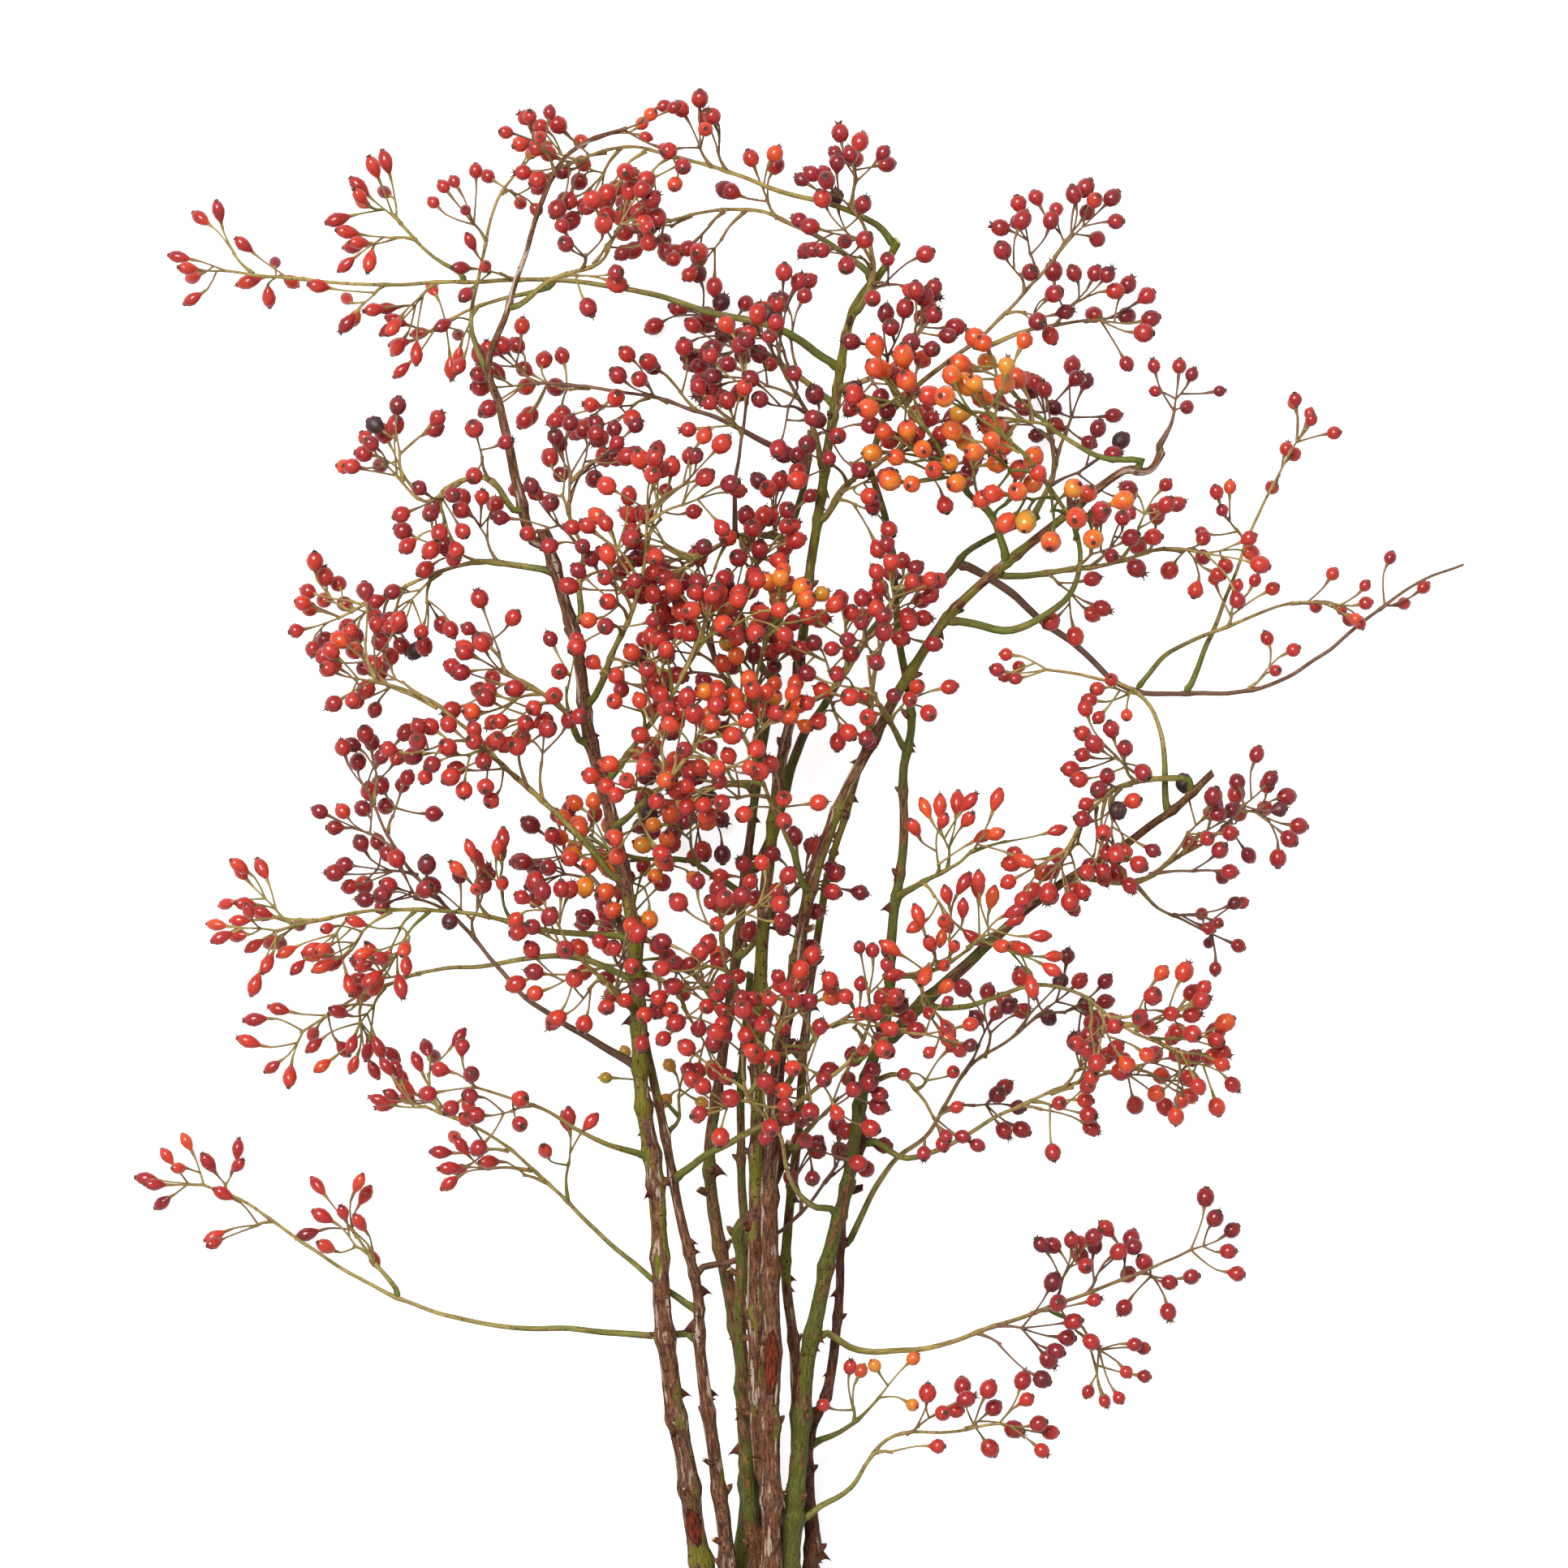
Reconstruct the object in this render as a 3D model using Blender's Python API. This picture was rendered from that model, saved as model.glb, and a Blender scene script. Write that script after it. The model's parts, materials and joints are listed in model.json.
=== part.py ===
"""A bunch of cut dog-rose canes in fruit, held by a rubber band and laid down along +Y.

The cut ends point to -Y and the tips to +Y. The lowest canes and the lowest hips rest on Z = 0.
Each cane is one solid with its thick forks, thorns and smallest twigs. Each side spray is one
solid with its twigs, stalks and hips. Lengths below are in millimetres until the meshes are made.
"""

import math
import random

import bmesh
import bpy
from mathutils import Vector

MM = 0.001

# ---------------------------------------------------------------- driving dimensions
TIE_START, TIE_END = 38.0, 52.0      # the stretch where the canes lie side by side, along +Y
BAND_WIDTH = 9.0                     # three turns of a 3 mm rubber band
BAND_THICK = 1.2
TOUCH_GAP = 0.35                     # between solids that touch on the real thing
TIE_MIDDLE = -12.0                   # the X about which the cut ends fan out
LOWEST_ROW_BELOW = 7.0               # canes held lower than this lie on the surface
FLAT_END = 26.0                      # the lowest canes lie flat from their cut ends to here
FLAT_SHARE = 0.8                     # the exactly level share of that stretch
CUT_SPREAD = 1.22                    # how far the cut ends fan out again, past the band
BEND_SHARE = 0.35                    # how much of that fan is left where the flat stretch ends
RISE_END = 320.0                     # from here up the canes have reached their own height

# how the stems are kept apart
STEM_CLEAR = 1.6                     # air kept between stems of different pieces
SLOPE_SPARE = 1.12                   # extra, because the stems cross at a slant
FIRST_RISE = 0.15                    # the share of its climb that a branch makes at once
EASE = 0.12                          # how far a point moves towards its neighbours' mean each turn
PUSH = 0.35                          # the share of the missing room that each stem gives way
TURNS, CALM_TURNS = 260, 60          # the last turns only push and no longer smooth
LOWEST_SPRAY, LOWEST_CANE = 3.0, 0.5 # air kept under sprays and under canes
PARALLEL = 1e-6
TINY = 1e-9
NEARLY_UPRIGHT = 0.2                 # a heading whose cross product with +Z is shorter than this

# how the crop grows
TWIG_GAP = 0.9                       # air kept round twigs, stalks and hips
TWIG_RADIUS = 0.75
STALK_RADIUS = 0.5
STALK_SINK = 1.4                     # how far stalks start inside their twig
GOLDEN_TURN = 2.4                    # radians from one shoot to the next
GOLDEN_SHARE = 0.618
HIP_TRIES = 7
HIPS_A_CYME = 4.2
CYME_SIZES = (3, 4, 5, 5, 6)
NO_TWIG = 3.0                        # a twig shorter than this isn't there
LOWEST_NODE = 5.0
STALK_LENGTH = (10.0, 19.0)
FIRST_TILT, OTHER_TILT = (0.0, 0.4), (0.35, 1.15)
LENGTH_RANGE = (0.95, 1.08)
TWIG_TILT, TWIG_TURN, STALK_TURN = (0.6, 1.1), 0.4, 0.3
TWIG_FLATNESS = 0.8
TWIG_SHARE = (0.45, 1.0)
TWIG_CUT = 0.6                       # the most of a twig that may lie inside its stem
HIP_CLEAR = 0.02                     # the lowest hips are this far above the surface
THORNS = 5                           # on each cane
THORN_SHARES = (0.22, 0.95)
THORN_TILT = 1.75                    # radians from the cane's heading, so a little backwards
THORN_LENGTH = (3.5, 5.5)
THORN_SKIN, THORN_ROOM, THORN_ROD = 0.5, 1.2, 0.8
THORN_SINK = 0.4                     # a thorn starts at this share of its cane's radius
THORN_FOOT, THORN_TIP = 1.5, 0.25

# how finely it is all modelled
CANE_SIDES, SPRAY_SIDES, TWIG_SIDES, HIP_SIDES = 6, 4, 3, 5
THIN_STEM = 1.5                      # forks no thicker than this have a twig's three sides
COLLAR = 2.5                         # the short straight start of a side spray
COLLAR_SWELL = 1.15
TWIG_SWELL, STALK_SWELL = 1.2, 1.1   # how much thicker they start
HIP_PROFILE = ((0.26, 0.88), (0.70, 0.97))   # (share of the length, share of the radius)
STALK_IN_HIP = 0.35                  # the share of a hip's length that its stalk reaches in
BAND_STEPS = 28
TIE_STEP = 3                         # the number of the cane's point where the band's stretch starts
HIPS_PER_MAIN = 11.0                 # one hip in about this many is modelled here

# ---------------------------------------------------------------- colours
BARK = {
    "brown": (0.23, 0.13, 0.07),
    "green": (0.20, 0.27, 0.08),
    "dark": (0.10, 0.06, 0.04),
}
HIP_COLOURS = {
    "red": (0.42, 0.045, 0.025),
    "scarlet": (0.55, 0.075, 0.03),
    "maroon": (0.20, 0.025, 0.02),
    "orange": (0.66, 0.17, 0.035),
    "unripe": (0.62, 0.46, 0.08),
}
# widest radius, smallest radius, length over width
HIP_SHAPES = {
    "round": (3.9, 3.1, 1.10),
    "large": (4.6, 3.7, 1.12),
    "oval": (3.6, 2.9, 1.50),
    "small": (3.0, 2.4, 1.10),
}


class Limb:
    """A stem: the points of its middle line, with a radius at each of them."""

    def __init__(self, name, piece, parent, thick, thin, level, route, **crop):
        self.name, self.piece, self.parent = name, piece, parent
        self.level = level
        self.points = [Vector((x, y, 0.0)) for x, y in route]
        self.thick, self.thin = thick, thin
        self.hips = crop.get("hips", 0)
        self.reach = crop.get("reach", 20.0)
        self.start = crop.get("start", 0.4)
        self.shape = crop.get("shape", "round")
        self.colour = crop.get("colour", "red")
        self.bark = crop.get("bark", "green")
        self.bare_tip = crop.get("bare_tip", False)
        self.held = 1
        self.skip_to = 0
        self.root = None

    def radius(self, place):
        """The radius at a place counted in points from the root. It tapers past the held points."""
        share = max(0.0, place - self.held + 1) / (len(self.points) - self.held)
        return self.thick + (self.thin - self.thick) * share

    def at(self, step, share):
        """The point a share of the way from point number step to the next."""
        return self.points[step].lerp(self.points[step + 1], share)


# ---------------------------------------------------------------- the canes
# name: (x and z where the band holds it, cut end's y, height above, radii, bark, route above the band)
CANES = {
    "cane_a": ((-26.6, 14.0), 6, 88, (4.8, 3.5), "brown", [
        (-35, 88), (-40, 122), (-48, 169), (-54, 252), (-59, 289), (-60, 322), (-64, 365),
        (-72, 399), (-80, 432), (-85, 465), (-92, 492), (-99, 515)]),
    "cane_b": ((-21.8, 22.2), 2, 58, (4.0, 2.2), "brown", [
        (-24, 88), (-28, 125), (-35, 178), (-36, 199), (-45, 243), (-55, 292), (-63, 329), (-68, 355)]),
    "cane_c": ((-21.8, 5.8), 0, 42, (4.2, 1.9), "green", [
        (-18, 88), (-15, 112), (-17, 165), (-21, 190), (-29, 231), (-31, 254), (-27, 287),
        (-20, 339), (-17, 365), (-12, 405), (-7, 439), (-2, 479), (2, 511), (9, 538), (11, 557)]),
    "cane_d": ((-16.9, 13.6), 9, 66, (4.2, 2.6), "green", [
        (-11, 88), (-14, 105), (-18, 161), (-18, 212), (-19, 226), (-12, 233), (-4, 246), (3, 262)]),
    "cane_f": ((-12.0, 22.2), 4, 92, (4.7, 2.1), "brown", [
        (-5, 88), (-6, 143), (-5, 190), (-6, 237), (-3, 287), (4, 330), (11, 367), (22, 399),
        (38, 431), (53, 458), (70, 482), (93, 502), (118, 522), (139, 538), (149, 538), (155, 547)]),
    "cane_g": ((-2.2, 22.0), 0, 88, (4.3, 1.8), "green", [
        (3, 88), (6, 131), (10, 172), (18, 213), (25, 239), (32, 282), (42, 314), (45, 354),
        (49, 383), (49, 415), (52, 436), (47, 472), (43, 512), (37, 534), (33, 547)]),
    "cane_h": ((2.8, 13.6), 7, 54, (3.9, 2.2), "dark", [
        (12, 88), (10, 119), (11, 139), (18, 157), (23, 196), (24, 219), (26, 239), (34, 265)]),
    "cane_i": ((-2.4, 5.3), 5, 46, (3.6, 1.9), "brown", [
        (4, 92), (6, 139), (4, 170), (1, 216), (6, 265), (9, 308), (17, 365), (29, 409), (38, 440)]),
    "cane_k": ((-12.0, 5.1), 3, 28, (3.4, 2.2), "green", [
        (-9, 92), (-11, 165), (-17, 232), (-18, 261), (-17, 292), (-14, 332)]),
    "cane_l": ((-7.1, 13.8), 8, 72, (4.5, 2.2), "brown", [
        (-1, 90), (-9, 132), (-12, 165), (-12, 199), (-11, 265), (-9, 349), (-5, 389), (-2, 415),
        (4, 442), (11, 500), (19, 554), (25, 592), (31, 609), (41, 622), (47, 634)]),
}


def fork(name, piece, parent, thick, thin, level, route, **crop):
    """A thick branch or a small twig that is one body with its cane or spray."""
    return Limb(name, piece, parent, thick, thin, level, route, **crop)


def spray(name, parent, level, route, hips, **crop):
    """A side spray: a solid of its own that starts at its cane's skin."""
    return Limb(name, name, parent, crop.pop("thick", 1.5), crop.pop("thin", 0.8), level, route,
                hips=hips, **crop)


# ---------------------------------------------------------------- what grows from the canes
BRANCHES = [
    # thick forks
    fork("fork_top", "cane_a", "cane_a", 2.3, 1.1, 100, [
        (-99, 509), (-107, 524), (-116, 564), (-121, 580), (-113, 603), (-107, 622), (-92, 662),
        (-77, 673), (-64, 677)], hips=10, start=0.7, shape="small", bark="dark"),
    fork("fork_back", "cane_c", "cane_c", 2.5, 1.6, 48, [
        (-15, 375), (-3, 394), (6, 425), (16, 442), (49, 489), (66, 495), (78, 508), (106, 521)]),
    fork("fork_right", "cane_g", "cane_g", 3.0, 2.1, 84, [
        (40, 306), (53, 316), (73, 334), (92, 352), (111, 367), (130, 379), (156, 397), (176, 415)]),
    # small twigs
    fork("twig_left", "cane_a", "cane_a", 1.5, 0.8, 100, [
        (-55, 257), (-75, 263), (-99, 277), (-127, 287)], hips=10, start=0.5, reach=14),
    fork("twig_unripe", "cane_b", "cane_b", 1.2, 0.8, 22, [
        (-49, 264), (-44, 270), (-44, 280)], hips=8, start=0.3, shape="small", colour="unripe"),
    fork("twig_top_b", "cane_b", "cane_b", 1.6, 0.8, 42, [
        (-68, 354), (-75, 366), (-92, 381)], hips=12, start=0.3, reach=14, colour="maroon"),
    fork("twig_hook", "cane_d", "cane_d", 1.4, 0.8, 82, [
        (3, 261), (8, 266), (14, 272), (20, 278)], hips=18, start=0.15, reach=14, colour="maroon"),
    fork("twig_tip", "cane_f", "cane_f", 1.5, 0.8, 84, [
        (154, 546), (158, 556), (160, 564)], hips=6, start=0.4, reach=10, shape="small",
        colour="maroon", bark="dark"),
    fork("twig_inner", "cane_f", "cane_f", 1.6, 0.8, 116, [
        (37, 430), (36, 448), (40, 468), (45, 487)], hips=12, start=0.3, reach=14),
    fork("twig_low", "cane_h", "cane_h", 1.5, 0.8, 44, [
        (11, 136), (23, 140), (33, 148), (40, 156)], hips=6, start=0.3, reach=8, shape="small",
        colour="orange"),
    fork("twig_hang", "cane_g", "cane_g", 1.4, 0.8, 104, [
        (34, 288), (46, 291), (55, 284), (61, 274)], hips=9, start=0.4, reach=16, shape="small"),
    fork("inner_low_left", "cane_a", "cane_a", 1.6, 0.8, 112, [
        (-60, 318), (-70, 326), (-80, 336), (-92, 346)], hips=24, start=0.15, reach=16),
    fork("inner_left", "cane_a", "cane_a", 1.6, 0.8, 96, [
        (-79, 428), (-90, 440), (-104, 450), (-116, 456)], hips=28, start=0.15, reach=16),
    fork("inner_high", "cane_a", "cane_a", 1.6, 0.8, 140, [
        (-70, 392), (-60, 400), (-48, 410), (-36, 424)], hips=32, start=0.2, reach=18,
        colour="scarlet"),
    fork("low_front", "cane_l", "cane_l", 1.6, 0.8, 116, [
        (-10, 310), (-17, 322), (-24, 336), (-26, 352)], hips=34, start=0.15, reach=18),
    fork("low_right_front", "cane_f", "cane_f", 1.6, 0.8, 118, [
        (-4, 283), (6, 296), (14, 308), (26, 316)], hips=30, start=0.2, reach=18),
    fork("mid_right_front", "cane_g", "cane_g", 1.5, 0.8, 112, [
        (50, 425), (43, 436), (36, 448), (34, 462)], hips=16, start=0.2, reach=14),
    fork("high_front", "cane_l", "cane_l", 1.5, 0.8, 112, [
        (17, 540), (12, 556), (4, 571), (-4, 584)], hips=30, start=0.15, reach=18,
        colour="maroon"),
    fork("high_right", "cane_l", "cane_l", 1.4, 0.8, 100, [
        (22, 573), (34, 576), (46, 582), (54, 592)], hips=20, start=0.25, reach=14, colour="maroon"),
    fork("middle_front", "cane_c", "cane_c", 1.5, 0.8, 78, [
        (-5, 455), (-14, 468), (-18, 484), (-14, 498)], hips=22, start=0.3, reach=16),
    # sprays on the left
    spray("left_low_long", "cane_b", 6, [
        (-35, 180), (-55, 180), (-89, 183), (-122, 184), (-162, 195), (-197, 215), (-225, 234),
        (-245, 242)], 12, shape="oval", reach=12, start=0.75, thick=1.7),
    fork("left_low_fork", "left_low_long", "left_low_long", 1.2, 0.8, 9, [
        (-162, 195), (-172, 210), (-182, 224)], hips=9, shape="oval", reach=12),
    spray("left_low", "cane_b", 56, [
        (-36, 193), (-55, 205), (-75, 222), (-95, 242), (-122, 265), (-149, 277)], 26,
        shape="oval", reach=20),
    spray("left_brown", "cane_a", 74, [
        (-59, 295), (-75, 302), (-92, 312), (-109, 325), (-132, 352), (-159, 382), (-172, 409)], 38,
        reach=22, bark="dark", thick=1.8, start=0.45, colour="maroon"),
    spray("left_mid_high", "cane_a", 104, [
        (-62, 347), (-89, 349), (-109, 353), (-135, 358), (-172, 358), (-192, 354), (-208, 350)], 46,
        shape="oval", colour="scarlet", reach=20, start=0.3),
    spray("left_mid_low", "cane_a", 24, [
        (-60, 330), (-89, 339), (-122, 335), (-149, 332), (-178, 321), (-202, 306)], 24,
        shape="oval", reach=16, start=0.55),
    spray("left_up", "cane_a", 118, [
        (-66, 372), (-84, 389), (-112, 415), (-130, 433), (-148, 446), (-168, 452)], 44,
        reach=20, start=0.3),
    spray("left_high", "cane_a", 66, [
        (-94, 498), (-122, 501), (-135, 499), (-157, 491), (-184, 478)], 38, reach=18, start=0.2),
    spray("left_high_arch", "fork_top", 112, [
        (-107, 523), (-122, 535), (-135, 532), (-146, 525), (-158, 536)], 26, reach=16, start=0.15),
    # sprays in the middle
    spray("middle_a", "cane_a", 124, [
        (-75, 411), (-62, 425), (-50, 440), (-40, 456), (-33, 472)], 46, reach=20, start=0.1,
        colour="scarlet"),
    spray("middle_b", "cane_a", 128, [
        (-81, 444), (-69, 465), (-60, 485), (-56, 503), (-55, 522)], 44, reach=20, start=0.1),
    spray("middle_c", "cane_a", 92, [
        (-88, 476), (-84, 490), (-82, 504), (-88, 520), (-87, 538)], 30, reach=18, start=0.15,
        colour="maroon"),
    spray("middle_d", "cane_c", 76, [
        (-7, 438), (-17, 446), (-26, 456), (-32, 470)], 34, reach=20, start=0.1, colour="maroon"),
    spray("middle_e", "cane_c", 8, [
        (-12, 407), (-22, 410), (-34, 408), (-46, 402)], 26, reach=18, start=0.2, colour="maroon"),
    spray("green_arch", "cane_b", 122, [
        (-46, 247), (-28, 259), (-5, 272), (14, 286), (28, 299), (35, 314), (34, 326)], 6,
        thick=1.7, reach=10, start=0.7, shape="small"),
    fork("green_arch_fork", "green_arch", "green_arch", 1.2, 0.8, 128, [
        (28, 299), (43, 308), (58, 309)], hips=6, reach=10, shape="small"),
    spray("green_curve", "cane_g", 112, [
        (23, 233), (11, 237), (3, 247), (-3, 269), (-15, 283), (-17, 302)], 12, reach=14, start=0.6),
    fork("green_curve_fork", "green_curve", "green_curve", 1.1, 0.8, 116, [
        (-15, 283), (-7, 295), (-2, 312)], hips=8, reach=12),
    spray("cross_dark", "cane_b", 44, [
        (-37, 207), (-22, 211), (-10, 219), (2, 227), (13, 239), (22, 252)], 12, reach=14,
        start=0.5, colour="maroon", bark="dark"),
    spray("cluster_centre", "cane_c", 100, [
        (2, 510), (-8, 513), (-18, 512), (-28, 507), (-38, 500)], 34, reach=18, start=0.1),
    fork("cluster_fork", "cluster_centre", "cluster_centre", 1.2, 0.8, 108, [
        (-21, 514), (-20, 532), (-18, 547), (-14, 572)], hips=10, reach=14, start=0.5, bark="dark"),
    spray("centre_left", "cane_c", 52, [
        (-24, 314), (-32, 325), (-42, 335), (-53, 343), (-62, 348)], 28, reach=20, start=0.2),
    spray("centre_right", "cane_c", 60, [
        (-20, 339), (-10, 347), (-2, 359), (6, 369)], 16, reach=16, start=0.3, colour="maroon"),
    spray("centre_orange", "cane_c", 74, [
        (-17, 365), (-29, 372), (-42, 379), (-59, 379), (-72, 382)], 26, reach=18, start=0.25,
        colour="orange"),
    spray("front_orange", "cane_l", 108, [
        (-2, 415), (-9, 425), (-12, 442), (-10, 459), (-5, 475)], 22, reach=16, start=0.2,
        colour="orange"),
    spray("front_red", "cane_f", 124, [
        (11, 367), (3, 384), (-6, 404), (-14, 426)], 26, reach=16, start=0.45, colour="scarlet"),
    spray("right_of_b", "cane_b", 84, [
        (-63, 330), (-52, 330), (-44, 324), (-39, 314)], 18, reach=18, start=0.25),
    spray("upper_right_l", "cane_l", 98, [
        (4, 442), (15, 446), (26, 456), (33, 470)], 26, reach=18, start=0.2),
    spray("upper_tip_l", "cane_l", 94, [
        (14, 519), (25, 532), (35, 539), (45, 545)], 24, reach=20, start=0.2),
    # sprays at the top
    spray("top_left", "cane_l", 88, [
        (46, 632), (38, 640), (25, 646), (-5, 654), (-20, 660), (-45, 667), (-65, 671), (-89, 663)], 38,
        reach=18, start=0.5, thick=1.6),
    spray("top_left_low", "cane_l", 46, [
        (37, 617), (23, 630), (6, 640), (-12, 647), (-32, 647), (-52, 642)], 22, reach=18, start=0.4),
    spray("top_long", "cane_l", 60, [
        (23, 582), (-2, 597), (-29, 604), (-55, 612), (-95, 618), (-132, 617), (-172, 616),
        (-205, 619), (-232, 622)], 26, shape="oval", reach=14, start=0.45, thick=1.8),
    fork("top_long_fork_a", "top_long", "top_long", 1.2, 0.8, 66, [
        (-132, 617), (-144, 627), (-162, 645)], hips=12, shape="oval", reach=12, start=0.4),
    fork("top_long_fork_b", "top_long", "top_long", 1.2, 0.8, 52, [
        (-95, 618), (-122, 609), (-145, 599)], hips=12, shape="oval", reach=12, start=0.4),
    fork("top_up", "cane_a", "fork_top", 1.3, 0.8, 112, [
        (-112, 605), (-95, 615), (-75, 622), (-69, 632)], hips=14, reach=14, start=0.4),
    fork("top_curl", "cane_a", "fork_top", 1.3, 0.8, 56, [
        (-120, 577), (-127, 592), (-128, 605), (-124, 625), (-119, 649), (-109, 665)], hips=12,
        reach=12, start=0.4, shape="small"),
    spray("upper_middle", "cane_c", 54, [
        (9, 545), (-8, 552), (-22, 559), (-34, 564), (-55, 570), (-96, 576), (-109, 575)], 32,
        reach=16, start=0.3, bark="dark"),
    spray("upper_dark", "cane_l", 12, [
        (21, 567), (6, 578), (-7, 589), (-24, 599), (-35, 607)], 32, reach=20, start=0.2,
        colour="maroon"),
    spray("top_centre", "cane_l", 76, [
        (30, 605), (36, 616), (36, 628), (32, 640), (26, 648)], 28, reach=16, start=0.15,
        colour="maroon"),
    # sprays on the upper right
    spray("right_top", "cane_g", 94, [
        (34, 545), (41, 559), (57, 575), (77, 590), (94, 606), (104, 617), (118, 634)], 22, reach=15,
        start=0.6, colour="maroon"),
    fork("right_top_fork", "right_top", "right_top", 1.2, 0.8, 84, [
        (77, 590), (98, 595), (118, 599), (131, 600)], hips=12, reach=14, colour="maroon"),
    spray("orange_a", "cane_f", 114, [
        (92, 501), (85, 519), (72, 531), (60, 551), (49, 565)], 26, reach=20, start=0.2,
        shape="large", colour="orange", thick=1.7),
    spray("orange_b", "cane_f", 142, [
        (67, 478), (93, 473), (111, 482), (120, 497), (117, 514), (107, 530), (93, 546), (74, 560)], 24,
        reach=18, start=0.45, shape="large", colour="orange", thick=1.8),
    spray("orange_c", "cane_f", 98, [
        (145, 538), (131, 543), (114, 552), (99, 564), (86, 576)], 13, reach=16, start=0.3,
        shape="large", colour="orange"),
    spray("right_flat", "cane_f", 60, [
        (87, 497), (111, 497), (136, 501), (155, 507), (175, 505)], 32, reach=18, start=0.1),
    spray("back_dark", "fork_back", 8, [
        (104, 520), (111, 535), (115, 549), (121, 565)], 20, reach=20, start=0.2, colour="maroon"),
    spray("right_long", "fork_back", 12, [
        (72, 502), (88, 494), (105, 480), (122, 467), (143, 450), (168, 448), (199, 450), (225, 464),
        (245, 480), (265, 494), (285, 502)], 6, reach=10, start=0.3, thick=1.9, bark="dark",
        shape="small", bare_tip=True),
    fork("right_long_up", "right_long", "right_long", 1.4, 0.7, 34, [
        (168, 448), (175, 465), (186, 492), (196, 519), (211, 549)], hips=12, reach=12, start=0.35,
        shape="small"),
    fork("right_long_mid", "right_long", "right_long", 1.2, 0.7, 46, [
        (148, 449), (161, 465), (188, 477), (211, 485), (228, 485)], hips=12, reach=10, start=0.2,
        shape="small"),
    # sprays on the right
    spray("right_twist", "fork_right", 88, [
        (158, 399), (156, 414), (154, 432), (145, 447), (125, 454), (106, 457)], 10, reach=10,
        start=0.3, shape="small"),
    spray("right_cluster", "fork_right", 108, [
        (168, 407), (156, 412), (145, 411), (134, 407), (122, 396), (114, 380)], 42, reach=18,
        start=0.25),
    spray("right_low_dark", "fork_right", 52, [
        (122, 374), (145, 370), (161, 379), (178, 389), (191, 402)], 26, reach=20, start=0.25,
        colour="maroon"),
    fork("right_low_fork", "right_low_dark", "right_low_dark", 1.1, 0.7, 30, [
        (145, 370), (155, 359), (175, 349)], hips=8, reach=10, shape="small", colour="maroon"),
    spray("bright_low", "cane_g", 118, [
        (43, 330), (55, 332), (68, 338), (81, 349)], 28, reach=18, start=0.2, shape="oval",
        colour="scarlet"),
    spray("bright_high", "cane_g", 108, [
        (46, 365), (57, 370), (68, 376), (78, 384)], 16, reach=16, start=0.2, shape="oval",
        colour="scarlet"),
    spray("right_big", "fork_right", 96, [
        (59, 321), (68, 318), (80, 320), (103, 328), (121, 324), (137, 312), (163, 300)], 34,
        reach=18, start=0.6, colour="scarlet"),
    spray("right_straight", "cane_h", 58, [
        (33, 262), (51, 255), (71, 262), (91, 274), (125, 288), (148, 294)], 28, reach=16,
        start=0.55),
    spray("right_rise", "cane_h", 18, [
        (24, 219), (33, 232), (45, 252), (61, 265), (75, 289), (95, 304), (111, 317)], 24,
        reach=18, start=0.45, colour="maroon"),
    spray("low_right", "cane_g", 7, [
        (12, 182), (31, 175), (61, 176), (91, 185), (132, 199), (152, 206), (172, 215)], 32,
        reach=15, start=0.38, thick=1.6, colour="maroon"),
    fork("low_right_fork", "low_right", "low_right", 1.1, 0.7, 6, [
        (111, 191), (125, 182), (131, 165)], hips=8, reach=10, shape="small"),
    spray("low_end", "cane_g", 34, [
        (4, 105), (15, 110), (28, 117), (35, 129), (46, 139), (65, 140), (91, 144)], 16, reach=12,
        start=0.35),
]


# ---------------------------------------------------------------- heights of the stems
def smooth(share):
    """From 0 to 1 with a soft start and a soft end."""
    share = min(1.0, max(0.0, share))
    return share * share * (3.0 - 2.0 * share)


def cane_limb(name, tie, cut_y, height, radii, bark, route):
    """A cane from its cut end, through the band, to its tip. Its held points stay where they are."""
    tie_x, tie_z = tie
    cut_x = TIE_MIDDLE + (tie_x - TIE_MIDDLE) * CUT_SPREAD
    bend_x = cut_x + (tie_x - cut_x) * BEND_SHARE
    before_bend = Vector((cut_x, cut_y)).lerp(Vector((bend_x, FLAT_END)), FLAT_SHARE)
    between = ((tie_x + route[0][0]) / 2, (TIE_END + route[0][1]) / 2)
    held = [(cut_x, cut_y), before_bend, (bend_x, FLAT_END), (tie_x, TIE_START), (tie_x, TIE_END)]
    limb = Limb(name, name, None, radii[0], radii[1], height, held + [between] + route, bark=bark)
    limb.held = limb.skip_to = len(held)
    lowest_row = tie_z < LOWEST_ROW_BELOW
    rest_z = radii[0] * math.cos(math.pi / CANE_SIDES) if lowest_row else tie_z
    for step, point in enumerate(limb.points):
        point.z = tie_z + (height - tie_z) * smooth((point.y - TIE_END) / (RISE_END - TIE_END))
        if step < held.index((bend_x, FLAT_END)) + 1:
            point.z = rest_z
    return limb


def nearest_on(limb, target):
    """The place on a limb, seen from above, that is nearest to a point."""
    best = None
    for step in range(len(limb.points) - 1):
        a, b = limb.points[step].xy, limb.points[step + 1].xy
        along = b - a
        share = min(1.0, max(0.0, (target - a).dot(along) / along.length_squared))
        gap = (a + along * share - target).length
        if best is None or gap < best[0]:
            best = (gap, step, share)
    return best[1], best[2]


def plant(limb, limbs):
    """Root a limb on its parent and draw its first heights towards its level."""
    parent = limbs[limb.parent]
    limb.root = nearest_on(parent, limb.points[0].xy)
    foot = parent.at(*limb.root)
    limb.points[0] = foot.copy()
    length = sum((b.xy - a.xy).length for a, b in zip(limb.points, limb.points[1:]))
    done = 0.0
    for before, point in zip(limb.points, limb.points[1:]):
        done += (point.xy - before.xy).length
        rise = smooth(FIRST_RISE + (1.0 - FIRST_RISE) * done / length)
        point.z = foot.z + (limb.level - foot.z) * rise


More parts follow.
